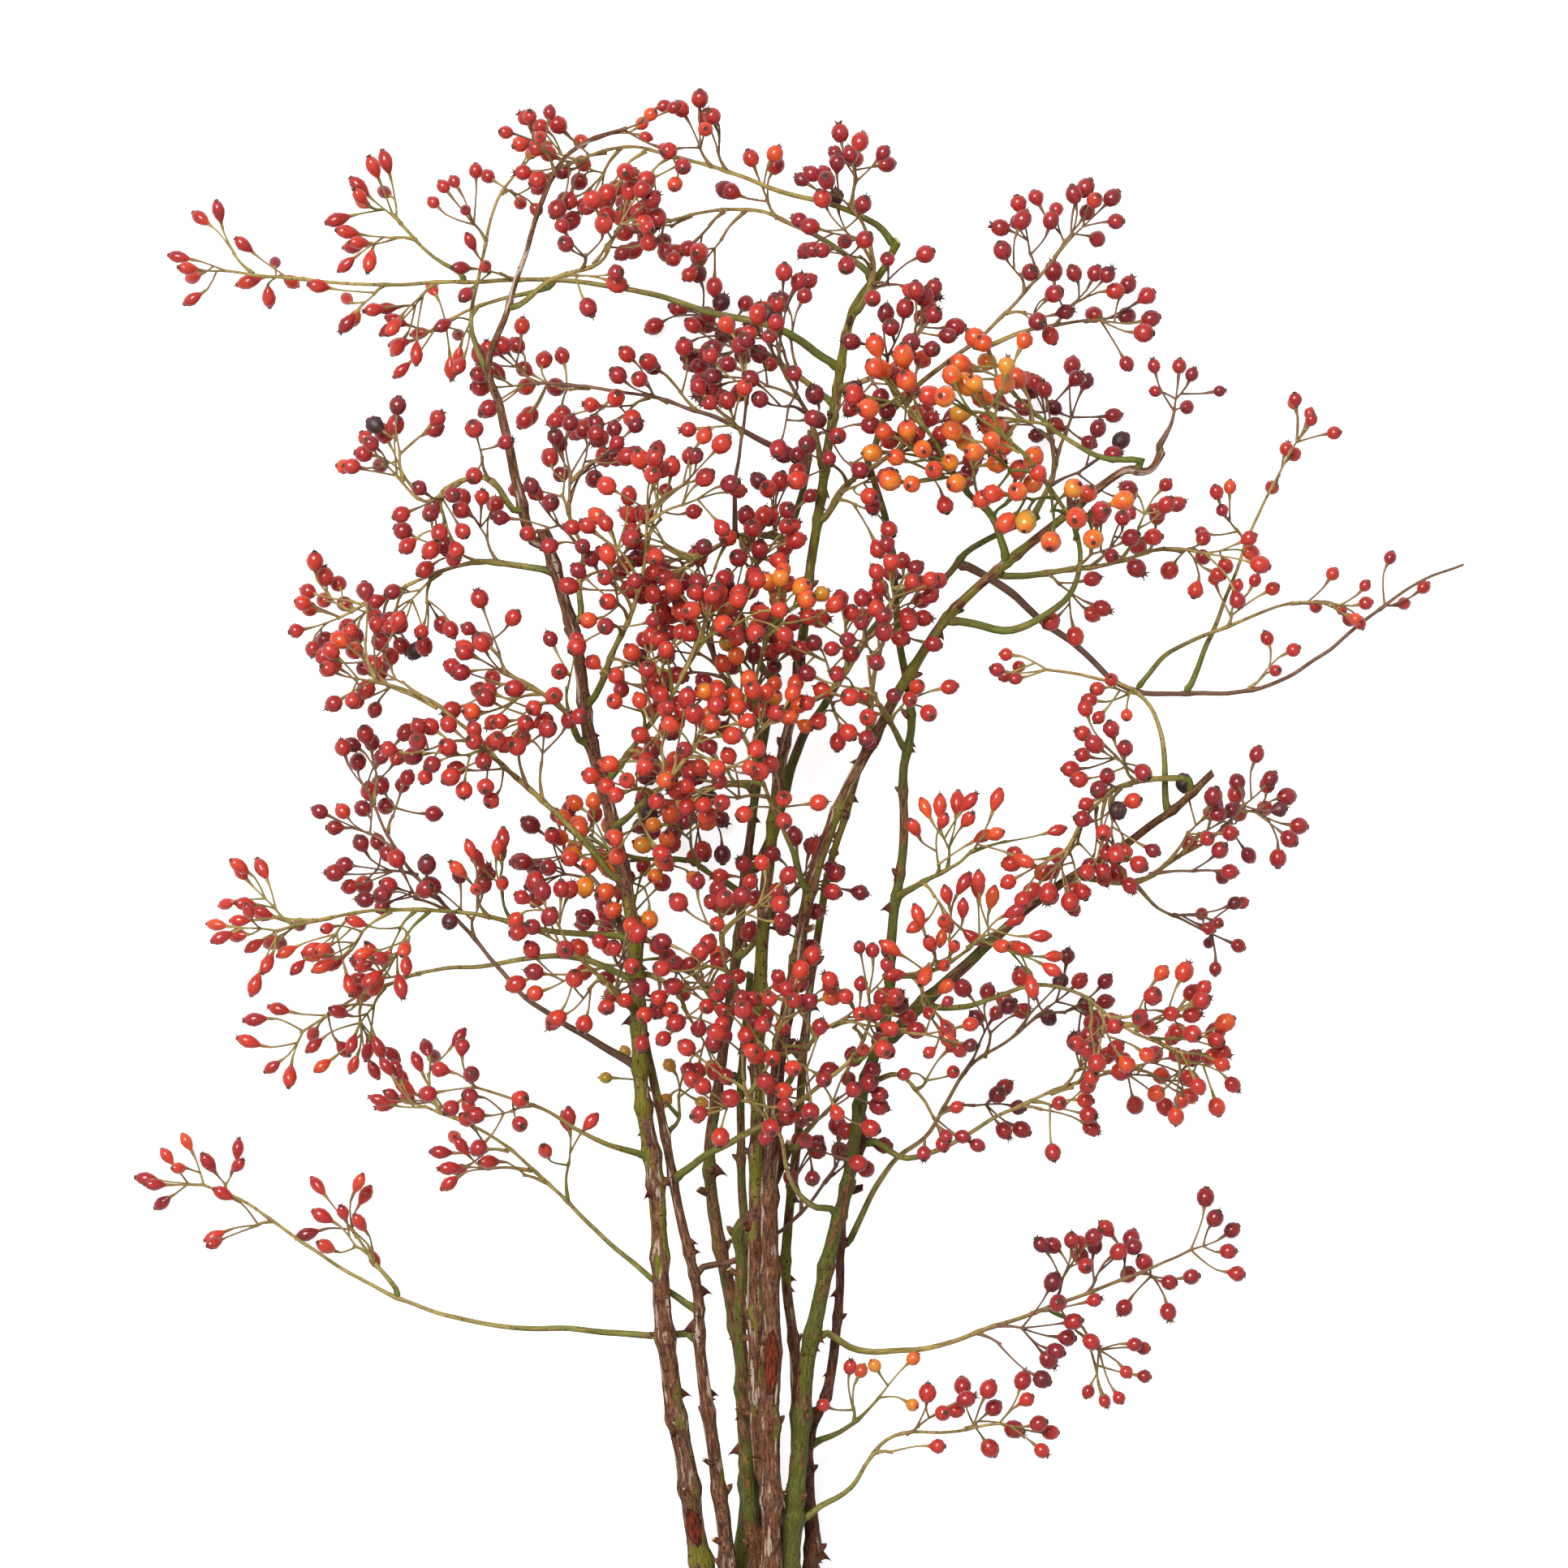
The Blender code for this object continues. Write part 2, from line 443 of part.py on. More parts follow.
def crossings(a, b, c, d):
    """Fractions along a-b and c-d, seen from above, where the two may be nearest."""
    u, v, w = b - a, d - c, c - a
    pairs = []
    turn = u.x * v.y - u.y * v.x
    if abs(turn) > PARALLEL:
        s = (w.x * v.y - w.y * v.x) / turn
        t = (w.x * u.y - w.y * u.x) / turn
        if 0 <= s <= 1 and 0 <= t <= 1:
            pairs.append((s, t))
    for t, end in ((0.0, c), (1.0, d)):
        pairs.append((min(1.0, max(0.0, (end - a).dot(u) / u.length_squared)), t))
    for s, end in ((0.0, a), (1.0, b)):
        pairs.append((s, min(1.0, max(0.0, (end - c).dot(v) / v.length_squared))))
    return pairs


def apart_in_plan(a, b, c, d, room):
    """True when two stretches are further apart than a width, seen from above."""
    return (max(a.x, b.x) + room < min(c.x, d.x) or max(c.x, d.x) + room < min(a.x, b.x)
            or max(a.y, b.y) + room < min(c.y, d.y) or max(c.y, d.y) + room < min(a.y, b.y))


def clashes_between(one, other):
    """The places where two stems pass over each other, and how far apart they must be there."""
    first = 1 if other.parent == one.name else other.skip_to
    for i in range(one.skip_to, len(one.points) - 1):
        a, b = one.points[i].xy, one.points[i + 1].xy
        wide = one.radius(i) + other.thick + STEM_CLEAR
        for j in range(first, len(other.points) - 1):
            c, d = other.points[j].xy, other.points[j + 1].xy
            if apart_in_plan(a, b, c, d, wide):
                continue
            for s, t in crossings(a, b, c, d):
                room = one.radius(i + s) + other.radius(j + t) + STEM_CLEAR
                apart = (a.lerp(b, s) - c.lerp(d, t)).length
                if apart < room:
                    lift = math.sqrt(room * room - apart * apart) * SLOPE_SPARE
                    above = one.at(i, s).z >= other.at(j, t).z
                    yield one, i, s, other, j, t, lift, 1 if above else -1


def nudge(limb, step, share, amount):
    """Move the two points round a place so that the place itself moves by the amount."""
    near, far = 1.0 - share, share
    spread = near * near + far * far
    if step >= limb.held:
        limb.points[step].z += amount * near / spread
    if step + 1 >= limb.held:
        limb.points[step + 1].z += amount * far / spread


def ease(limb):
    """Draw each free point a little towards the mean of its neighbours."""
    heights = [point.z for point in limb.points]
    for step in range(max(1, limb.held), len(heights) - 1):
        middle = (heights[step - 1] + heights[step + 1]) / 2
        limb.points[step].z += EASE * (middle - heights[step])


def keep_rooted(limb, limbs):
    """Put a branch's foot back on its parent and keep its points above the surface."""
    if limb.root:
        limb.points[0] = limbs[limb.parent].at(*limb.root)
    air = LOWEST_SPRAY if limb.parent else LOWEST_CANE
    for step in range(limb.held, len(limb.points)):
        limb.points[step].z = max(limb.radius(step) + air, limb.points[step].z)


def settle(limbs):
    """Lift and lower the stems until none touches another piece, keeping each one smooth."""
    stems = list(limbs.values())
    clashes = [clash for number, one in enumerate(stems) for other in stems[number + 1:]
               if one.piece != other.piece for clash in clashes_between(one, other)]
    for turn in range(TURNS):
        if turn < TURNS - CALM_TURNS:
            for limb in stems:
                ease(limb)
        for one, i, s, other, j, t, lift, sign in clashes:
            lack = lift - sign * (one.at(i, s).z - other.at(j, t).z)
            if lack > 0:
                nudge(one, i, s, PUSH * lack * sign)
                nudge(other, j, t, -PUSH * lack * sign)
        for limb in stems:
            keep_rooted(limb, limbs)


# ---------------------------------------------------------------- what is already there
def rod_gap(p, q, r, s):
    """The shortest distance between the segments p-q and r-s."""
    u, v, w = q - p, s - r, p - r
    uu, uv, vv = u.dot(u), u.dot(v), v.dot(v)
    uw, vw = u.dot(w), v.dot(w)
    spread = uu * vv - uv * uv
    along = 0.0 if spread < TINY else min(1.0, max(0.0, (uv * vw - vv * uw) / spread))
    across = (uv * along + vw) / vv if vv > TINY else 0.0
    if across < 0.0 or across > 1.0:
        across = min(1.0, max(0.0, across))
        along = min(1.0, max(0.0, (uv * across - uw) / uu)) if uu > TINY else 0.0
    return (w + u * along - v * across).length


class Crowd:
    """All that is placed so far, as round-ended rods, found by where they are."""

    CELL = 12.0

    def __init__(self):
        self.cells = {}

    def _keys(self, p, q, pad):
        low = [math.floor((min(p[k], q[k]) - pad) / self.CELL) for k in range(3)]
        high = [math.floor((max(p[k], q[k]) + pad) / self.CELL) for k in range(3)]
        for i in range(low[0], high[0] + 1):
            for j in range(low[1], high[1] + 1):
                for k in range(low[2], high[2] + 1):
                    yield i, j, k

    def add(self, p, q, radius, piece, family, is_hip=False):
        rod = (p.copy(), q.copy(), radius, piece, family, is_hip)
        for key in self._keys(p, q, radius):
            self.cells.setdefault(key, []).append(rod)

    def free(self, p, q, radius, piece, family, is_hip=False):
        """True when a rod here keeps clear of other pieces and of this piece's other hips."""
        seen = set()
        for key in self._keys(p, q, radius + TWIG_GAP):
            for rod in self.cells.get(key, ()):
                if id(rod) in seen:
                    continue
                seen.add(id(rod))
                r, s, thick, its_piece, its_family, its_hip = rod
                if its_piece == piece:
                    if not (is_hip or its_hip):
                        continue
                    if family == its_family and not (is_hip and its_hip):
                        continue
                if rod_gap(p, q, r, s) < radius + thick + TWIG_GAP:
                    return False
        return True


# ---------------------------------------------------------------- twigs, stalks and hips
def turned(axis, tilt, spin):
    """A direction tilted away from an axis, at a spin round it."""
    side = axis.cross(Vector((0, 0, 1)))
    if side.length < 0.1:
        side = Vector((1, 0, 0))
    side.normalize()
    other = side.cross(axis).normalized()
    away = side * math.cos(spin) + other * math.sin(spin)
    return (axis * math.cos(tilt) + away * math.sin(tilt)).normalized()


class Hip:
    """A hip at the end of its stalk."""

    def __init__(self, base, axis, radius, length):
        self.base, self.axis, self.radius, self.length = base, axis, radius, length

    def core(self):
        """The rod that the hip's flesh surrounds."""
        inset = min(self.radius, self.length / 2)
        return self.base + self.axis * inset, self.base + self.axis * (self.length - inset)


class Cyme:
    """A twig with a loose head of hips at its end."""

    def __init__(self, root, end, heading):
        self.root, self.end = root, end
        self.hold = end - heading * STALK_SINK
        self.stalks = []


def try_hip(limb, end, heading, number, spin, rng):
    """A hip at the end of a stalk that leaves a cyme's node at a spin, lifted clear of the surface."""
    widest, smallest, slim = HIP_SHAPES[limb.shape]
    way = turned(heading, rng.uniform(*(OTHER_TILT if number else FIRST_TILT)), spin)
    stalk = rng.uniform(*STALK_LENGTH)
    radius = rng.uniform(smallest, widest)
    long = 2 * radius * slim * rng.uniform(*LENGTH_RANGE)
    base = end + way * stalk
    base.z = max(base.z, radius - way.z * long / 2)
    hip = Hip(base, (base - end).normalized(), radius, long)
    low, high = hip.core()
    sink = radius + HIP_CLEAR - min(low.z, high.z)
    if sink > 0:
        hip.base = base + Vector((0, 0, sink))
    return hip


def try_cyme(limb, family, root, heading, length, wanted, rng, crowd):
    """Grow one twig with its stalks and hips, or nothing where there is no room."""
    end = root + heading * length
    end.z = max(LOWEST_NODE, end.z)
    if length > NO_TWIG:
        start = root.lerp(end, min(TWIG_CUT, (limb.thin + 1.0) / length))
        if not crowd.free(start, end, TWIG_RADIUS, limb.piece, family):
            return None
    cyme = Cyme(root, end, heading)
    spin = rng.uniform(0, math.tau)
    for number in range(wanted):
        for _ in range(HIP_TRIES):
            spin += GOLDEN_TURN + rng.uniform(-STALK_TURN, STALK_TURN)
            hip = try_hip(limb, end, heading, number, spin, rng)
            low, high = hip.core()
            if crowd.free(low, high, hip.radius, limb.piece, family, True) and crowd.free(
                    end, hip.base, STALK_RADIUS, limb.piece, family):
                crowd.add(low, high, hip.radius, limb.piece, family, True)
                crowd.add(end, hip.base, STALK_RADIUS, limb.piece, family)
                cyme.stalks.append(hip)
                break
    if not cyme.stalks:
        return None
    if length > NO_TWIG:
        crowd.add(root, end, TWIG_RADIUS, limb.piece, family)
    return cyme


def place_along(limb, share):
    """The point and the heading at a share of a limb's length."""
    lengths = [(b - a).length for a, b in zip(limb.points, limb.points[1:])]
    left = share * sum(lengths)
    for step, length in enumerate(lengths):
        if left <= length or step == len(lengths) - 1:
            heading = (limb.points[step + 1] - limb.points[step]).normalized()
            return limb.at(step, min(1.0, left / length)), heading
        left -= length


def grow(limb, crowd):
    """The cymes of one limb, the tip's first."""
    rng = random.Random(limb.name)
    cymes = []
    placed, turn = 0, 1 if limb.bare_tip else 0
    rounds = max(2, round(limb.hips / HIPS_A_CYME))
    while placed < limb.hips and turn < rounds * 4:
        share = 1.0 - (1.0 - limb.start) * ((turn * GOLDEN_SHARE) % 1.0) if turn else 1.0
        root, heading = place_along(limb, share)
        wanted = min(limb.hips - placed, rng.choice(CYME_SIZES))
        way, length = heading, 0.0
        if turn:
            spin = turn * GOLDEN_TURN
            way = turned(heading, rng.uniform(*TWIG_TILT), spin + rng.uniform(-TWIG_TURN, TWIG_TURN))
            way.z *= TWIG_FLATNESS
            way.normalize()
            length = limb.reach * rng.uniform(*TWIG_SHARE)
        cyme = try_cyme(limb, f"{limb.name}{turn}", root, way, length, wanted, rng, crowd)
        if cyme:
            cymes.append(cyme)
            placed += len(cyme.stalks)
        turn += 1
    return cymes


class Thorn:
    def __init__(self, foot, tip):
        self.foot, self.tip = foot, tip


def thorns_of(limb, crowd, wanted):
    """Hooked thorns on a cane, pointing out and a little back."""
    rng = random.Random(limb.name + " thorns")
    found = []
    for _ in range(wanted * 4):
        if len(found) == wanted:
            break
        share = rng.uniform(*THORN_SHARES)
        foot, heading = place_along(limb, share)
        thick = limb.radius(share * (len(limb.points) - 1))
        way = turned(heading, THORN_TILT, rng.uniform(0, math.tau))
        tip = foot + way * (thick + rng.uniform(*THORN_LENGTH))
        if crowd.free(foot + way * (thick + THORN_SKIN), tip, THORN_ROOM, limb.piece, "thorn"):
            crowd.add(foot, tip, THORN_ROD, limb.piece, "thorn")
            found.append(Thorn(foot + way * thick * THORN_SINK, tip))
    return found


# ---------------------------------------------------------------- the whole layout
def layout():
    """All stems with their heights, and the cymes and thorns on them."""
    limbs = {}
    for name, facts in CANES.items():
        limbs[name] = cane_limb(name, *facts)
    for limb in BRANCHES:
        plant(limb, limbs)
        limbs[limb.name] = limb
    settle(limbs)
    crowd = Crowd()
    for limb in limbs.values():
        for step in range(len(limb.points) - 1):
            crowd.add(limb.points[step], limb.points[step + 1], limb.radius(step), limb.piece, limb.name)
    thorns = {name: thorns_of(limbs[name], crowd, THORNS) for name in CANES}
    cymes = {limb.name: grow(limb, crowd) for limb in limbs.values() if limb.hips}
    return limbs, cymes, thorns


# ---------------------------------------------------------------- meshes
def ring_axes(heading):
    """Two directions square to a stem, the first level, so that a six-sided stem has a flat underside."""
    side = heading.cross(Vector((0, 0, 1)))
    if side.length < NEARLY_UPRIGHT:
        side = heading.cross(Vector((1, 0, 0)))
    side.normalize()
    return side, side.cross(heading).normalized()


def tube_mesh(name, points, radii, sides):
    """A closed tube through the points, with flat ends."""
    bm = bmesh.new()
    rings = []
    last = len(points) - 1
    for step, (point, radius) in enumerate(zip(points, radii)):
        before = points[max(0, step - 1)]
        after = points[min(last, step + 1)]
        if 0 < step < last:
            heading = (point - before).normalized() + (after - point).normalized()
        else:
            heading = after - before
        side, up = ring_axes(heading.normalized())
        ring = []
        for corner in range(sides):
            angle = math.tau * corner / sides
            spot = point + (side * math.cos(angle) + up * math.sin(angle)) * radius
            ring.append(bm.verts.new(spot * MM))
        rings.append(ring)
    for low, high in zip(rings, rings[1:]):
        for corner in range(sides):
            after = (corner + 1) % sides
            bm.faces.new((low[corner], low[after], high[after], high[corner]))
    bm.faces.new(reversed(rings[0]))
    bm.faces.new(rings[-1])
    return finished(bm, name)


def spindle_mesh(name, base, tip, profile, sides):
    """A closed turned shape: points at both ends and rings at the profile's (share, radius)."""
    bm = bmesh.new()
    axis = (tip - base).normalized()
    side, up = ring_axes(axis)
    rings = []
    for share, radius in profile:
        centre = base.lerp(tip, share)
        rings.append([bm.verts.new((centre + (side * math.cos(math.tau * k / sides)
                                              + up * math.sin(math.tau * k / sides)) * radius) * MM)
                      for k in range(sides)])
    bottom, top = bm.verts.new(base * MM), bm.verts.new(tip * MM)
    for corner in range(sides):
        after = (corner + 1) % sides
        bm.faces.new((bottom, rings[0][after], rings[0][corner]))
        bm.faces.new((top, rings[-1][corner], rings[-1][after]))
        for low, high in zip(rings, rings[1:]):
            bm.faces.new((low[corner], low[after], high[after], high[corner]))
    return finished(bm, name)


def finished(bm, name):
    bmesh.ops.recalc_face_normals(bm, faces=bm.faces)
    mesh = bpy.data.meshes.new(name)
    bm.to_mesh(mesh)
    bm.free()
    return mesh


def limb_mesh(limb, limbs):
    """A limb's tube. A spray starts at its parent's skin, a fork inside its parent."""
    points = [point.copy() for point in limb.points]
    radii = [limb.radius(step) for step in range(len(points))]
    own_solid = limb.parent and limb.piece == limb.name
    if own_solid:
        parent = limbs[limb.parent]
        step, share = limb.root
        along = (parent.points[step + 1] - parent.points[step]).normalized()
        out = points[1] - points[0]
        out = (out - along * out.dot(along)).normalized()
        skin = points[0] + out * (parent.radius(step + share) + TOUCH_GAP)
        points[0:1] = [skin, skin + out * COLLAR]
        radii[0:1] = [limb.thick * COLLAR_SWELL, limb.thick]
    is_twig = not own_solid and limb.thick <= THIN_STEM
    sides = TWIG_SIDES if is_twig else SPRAY_SIDES if limb.parent else CANE_SIDES
    return tube_mesh(limb.name, points, radii, sides)


def hip_mesh(name, hip):
    tip = hip.base + hip.axis * hip.length
    profile = [(share, hip.radius * width) for share, width in HIP_PROFILE]
    return spindle_mesh(name, hip.base, tip, profile, HIP_SIDES)


def main_hips(cymes):
    """The hips modelled here: the first of each cyme, from the tip on, then the second of each."""
    wanted = max(2, round(sum(len(cyme.stalks) for cyme in cymes) / HIPS_PER_MAIN))
    chosen = []
    for rank in range(2):
        for cyme in cymes:
            if rank < len(cyme.stalks) and len(chosen) < wanted:
                chosen.append((cyme, cyme.stalks[rank]))
    return chosen


def crop_meshes(cymes):
    """The twigs, stalks and main hips of one limb, as closed meshes that all reach into each other."""
    meshes, leading = [], set()
    for cyme, hip in main_hips(cymes):
        into = hip.base + hip.axis * hip.length * STALK_IN_HIP
        if cyme.root != cyme.end and cyme not in leading:
            leading.add(cyme)
            path = [cyme.root, cyme.end, into]
            radii = [TWIG_RADIUS * TWIG_SWELL, TWIG_RADIUS, STALK_RADIUS]
        else:
            path, radii = [cyme.hold, into], [STALK_RADIUS * STALK_SWELL, STALK_RADIUS]
        meshes.append(tube_mesh("stalk", path, radii, TWIG_SIDES))
        meshes.append(hip_mesh("hip", hip))
    return meshes


def thorn_mesh(thorn):
    return tube_mesh("thorn", [thorn.foot, thorn.tip], [THORN_FOOT, THORN_TIP], TWIG_SIDES)


# ---------------------------------------------------------------- solids
def material(name, colour, roughness):
    made = bpy.data.materials.new(name)
    made.use_nodes = True
    shader = made.node_tree.nodes["Principled BSDF"]
    shader.inputs["Base Color"].default_value = (*colour, 1.0)
    shader.inputs["Roughness"].default_value = roughness
    return made


def fuse(name, body, extras):
    """One solid: the body with every closed mesh in extras joined to it.

    All of them are closed meshes, which is what the manifold solver needs to join them at once.
    """
    solid = bpy.data.objects.new(name, body)
    bpy.context.collection.objects.link(solid)
    if not extras:
        return solid
    group = bpy.data.collections.new(name + "_extras")
    bpy.context.scene.collection.children.link(group)
    for extra in extras:
        group.objects.link(bpy.data.objects.new(name + "_extra", extra))
    union = solid.modifiers.new("join", "BOOLEAN")
    union.operation = "UNION"
    union.operand_type = "COLLECTION"
    union.collection = group
    union.solver = "MANIFOLD"
    graph = bpy.context.evaluated_depsgraph_get()
    joined = bpy.data.meshes.new_from_object(solid.evaluated_get(graph))
    solid.modifiers.clear()
    solid.data = joined
    for helper in list(group.objects):
        bpy.data.objects.remove(helper)
    bpy.data.collections.remove(group)
    return solid


def make_pieces(limbs, cymes, thorns):
    """A solid for each cane and each spray."""
    barks = {name: material(name + " bark", colour, 0.75) for name, colour in BARK.items()}
    flesh = {name: material(name + " hip", colour, 0.3) for name, colour in HIP_COLOURS.items()}
    pieces = {}
    for limb in limbs.values():
        pieces.setdefault(limb.piece, []).append(limb)
    solids = []
    for piece, stems in pieces.items():
        extras = []
        for limb in stems:
            if limb is not stems[0]:
                extras.append(limb_mesh(limb, limbs))
            extras += crop_meshes(cymes.get(limb.name, []))
        extras += [thorn_mesh(thorn) for thorn in thorns.get(piece, [])]
        solid = fuse(piece, limb_mesh(stems[0], limbs), extras)
        solid.data.materials.clear()
        is_cane = stems[0].parent is None
        solid.data.materials.append(barks[stems[0].bark] if is_cane else flesh[stems[0].colour])
        solids.append(solid)
    return solids


def make_band(limbs):
    """The rubber band: one loop round all the canes, where they lie side by side."""
    canes = [limb for limb in limbs.values() if limb.parent is None]
    centre_y = (TIE_START + TIE_END) / 2
    inner, outer = [], []
    for step in range(BAND_STEPS):
        angle = math.tau * step / BAND_STEPS
        way = Vector((math.cos(angle), 0.0, math.sin(angle)))
        reach = [(limb.points[TIE_STEP].dot(way) + limb.radius(TIE_STEP), limb) for limb in canes]
        widest = max(reach, key=lambda entry: entry[0])[1]
        heart = Vector((widest.points[TIE_STEP].x, 0.0, widest.points[TIE_STEP].z))
        skin = widest.radius(TIE_STEP) + TOUCH_GAP
        inner.append(heart + way * skin)
        outer.append(heart + way * (skin + BAND_THICK))
    bm = bmesh.new()
    loops = []
    for outline, y in ((inner, -1), (outer, -1), (outer, 1), (inner, 1)):
        shift = Vector((0.0, centre_y + y * BAND_WIDTH / 2, 0.0))
        loops.append([bm.verts.new((point + shift) * MM) for point in outline])
    for low, high in zip(loops, loops[1:] + loops[:1]):
        for step in range(BAND_STEPS):
            after = (step + 1) % BAND_STEPS
            bm.faces.new((low[step], low[after], high[after], high[step]))
    band = bpy.data.objects.new("band", finished(bm, "band"))
    bpy.context.collection.objects.link(band)
    band.data.materials.append(material("tan rubber", (0.52, 0.36, 0.20), 0.6))
    return band


def centre(solids):
    """Move everything so that the middle of the box's underside is the origin."""
    corners = [vertex.co for solid in solids for vertex in solid.data.vertices]
    low = Vector([min(corner[k] for corner in corners) for k in range(3)])
    high = Vector([max(corner[k] for corner in corners) for k in range(3)])
    shift = Vector((-(low.x + high.x) / 2, -(low.y + high.y) / 2, -low.z))
    for solid in solids:
        for vertex in solid.data.vertices:
            vertex.co += shift


def main():
    for old in list(bpy.data.objects):
        bpy.data.objects.remove(old)
    limbs, cymes, thorns = layout()
    solids = make_pieces(limbs, cymes, thorns)
    solids.append(make_band(limbs))
    centre(solids)


main()
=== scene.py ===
# %% [markdown]
# # A bunch of wild rose branches in fruit
#
# Ten cut canes are held by a rubber band near their lower ends and lie on a pale table. Nearly
# fifty side sprays grow from them, and every spray ends in loose heads of small red hips. A bunch
# like this could be one sculpted lump, but what makes it look real is the light that falls through
# the gaps between its stems. So each stem is a tube bent along a line of its own, and each hip is
# a small turned shape at the end of its stalk.
#
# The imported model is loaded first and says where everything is. Lengths below are in millimetres
# until the moment when a point goes into a mesh.

import json
import math
import random
from functools import cache
from itertools import product

import bmesh
import bpy
from mathutils import Color, Matrix, Vector, noise
from mathutils.geometry import interpolate_bezier

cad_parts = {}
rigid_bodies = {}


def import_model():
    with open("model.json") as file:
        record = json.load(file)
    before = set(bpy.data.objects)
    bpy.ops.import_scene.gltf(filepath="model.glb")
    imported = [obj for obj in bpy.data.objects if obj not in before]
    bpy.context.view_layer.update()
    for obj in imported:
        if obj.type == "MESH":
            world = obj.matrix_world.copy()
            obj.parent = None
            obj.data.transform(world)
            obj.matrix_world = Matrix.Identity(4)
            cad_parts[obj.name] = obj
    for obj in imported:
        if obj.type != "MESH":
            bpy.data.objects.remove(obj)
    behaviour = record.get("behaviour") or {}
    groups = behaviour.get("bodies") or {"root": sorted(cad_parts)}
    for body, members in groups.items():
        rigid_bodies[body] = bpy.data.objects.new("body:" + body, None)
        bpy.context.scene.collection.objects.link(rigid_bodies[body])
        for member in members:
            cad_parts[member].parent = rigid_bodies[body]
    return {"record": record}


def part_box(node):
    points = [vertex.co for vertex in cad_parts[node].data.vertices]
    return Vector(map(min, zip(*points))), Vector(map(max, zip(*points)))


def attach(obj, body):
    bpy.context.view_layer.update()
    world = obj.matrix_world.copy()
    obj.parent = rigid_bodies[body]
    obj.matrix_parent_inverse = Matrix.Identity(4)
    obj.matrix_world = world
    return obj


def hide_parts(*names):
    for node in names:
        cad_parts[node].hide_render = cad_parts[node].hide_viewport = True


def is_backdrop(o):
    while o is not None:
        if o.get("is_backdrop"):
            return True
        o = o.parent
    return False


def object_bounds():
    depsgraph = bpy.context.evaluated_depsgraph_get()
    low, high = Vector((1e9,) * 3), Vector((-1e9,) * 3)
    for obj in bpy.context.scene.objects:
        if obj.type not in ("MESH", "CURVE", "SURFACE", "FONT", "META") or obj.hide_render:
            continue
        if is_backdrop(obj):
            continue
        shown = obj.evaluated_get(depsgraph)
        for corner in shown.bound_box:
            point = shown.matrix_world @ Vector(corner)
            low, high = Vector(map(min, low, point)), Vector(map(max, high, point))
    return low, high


MM = 0.001
UP = Vector((0.0, 0.0, 1.0))

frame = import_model()
cad_box = [list(corner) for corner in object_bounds()]
slot_of = {part["node"]: part["material_slot"] for part in frame["record"]["subparts"]}
print("packed model:", len(slot_of), "nodes, box", [[round(x, 3) for x in corner] for corner in cad_box])

# %% [markdown]
# ## Where the stems run
#
# A stem is described by the points of its middle line as they lie on the table, seen from above,
# with a radius at each end. The crop on it is described by a few words: how many hips, what shape
# and colour, and how far its twigs reach. Written this way the whole bunch is a list that can be
# read and changed, and every mesh is worked out from it.
#
# The canes come first. Where the band holds them they lie side by side in a heap three deep, which
# is why each has an x and a z there. Beyond the band each climbs to a height of its own.

# %% What a stem knows
TIE_START, TIE_END = 38.0, 52.0  # the stretch where the canes lie side by side, along +Y
BAND_WIDTH = 9.0
BAND_THICK = 1.2
TOUCH_GAP = 0.35  # the band's distance from the bark
TIE_MIDDLE = -12.0  # the x about which the cut ends fan out
LOWEST_ROW_BELOW = 7.0  # canes held lower than this lie on the table
FLAT_END = 26.0  # the lowest canes lie flat from their cut ends to here
FLAT_SHARE = 0.8  # the level share of that stretch
CUT_SPREAD = 1.22  # how far the cut ends fan out again, past the band
BEND_SHARE = 0.35  # how much of that fan is left where the flat stretch ends
RISE_END = 320.0  # from here up the canes have reached their own height
CANE_SIDES = 6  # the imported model's canes are six-sided bars


# what a stem bears, where its own line says nothing else
USUAL_CROP = {
    "hips": 0,
    "reach": 20.0,  # how far its twigs reach
    "start": 0.4,  # the share of it that has no twigs
    "shape": "round",
    "colour": "red",
    "bark": "green",
    "bare_tip": False,  # true where no hips sit at its very end
}


class Limb:
    """A stem: the points of its middle line, with a radius at each of them."""

    def __init__(self, name, piece, parent, thick, thin, level, route, **crop):
        self.name, self.piece, self.parent = name, piece, parent
        self.level = level
        self.points = [Vector((x, y, 0.0)) for x, y in route]
        self.thick, self.thin = thick, thin
        for fact, usual in USUAL_CROP.items():
            setattr(self, fact, crop.get(fact, usual))
        self.held = 1  # so many of its first points stay where they are
        self.skip_to = 0  # crossings are looked for from this point on
        self.root = None  # the place on its parent that it grows from

    def radius(self, place):
        """The radius at a place counted in points from the root. It tapers past the held points."""
        share = max(0.0, place - self.held + 1) / (len(self.points) - self.held)
        return self.thick + (self.thin - self.thick) * share

    def at(self, step, share):
        """The point a share of the way from point number step to the next."""
        return self.points[step].lerp(self.points[step + 1], share)


def clamp(share):
    """A share kept from 0 to 1."""
    return min(1.0, max(0.0, share))


def smooth(share):
    """From 0 to 1 with a soft start and a soft end."""
    share = clamp(share)
    return share * share * (3.0 - 2.0 * share)


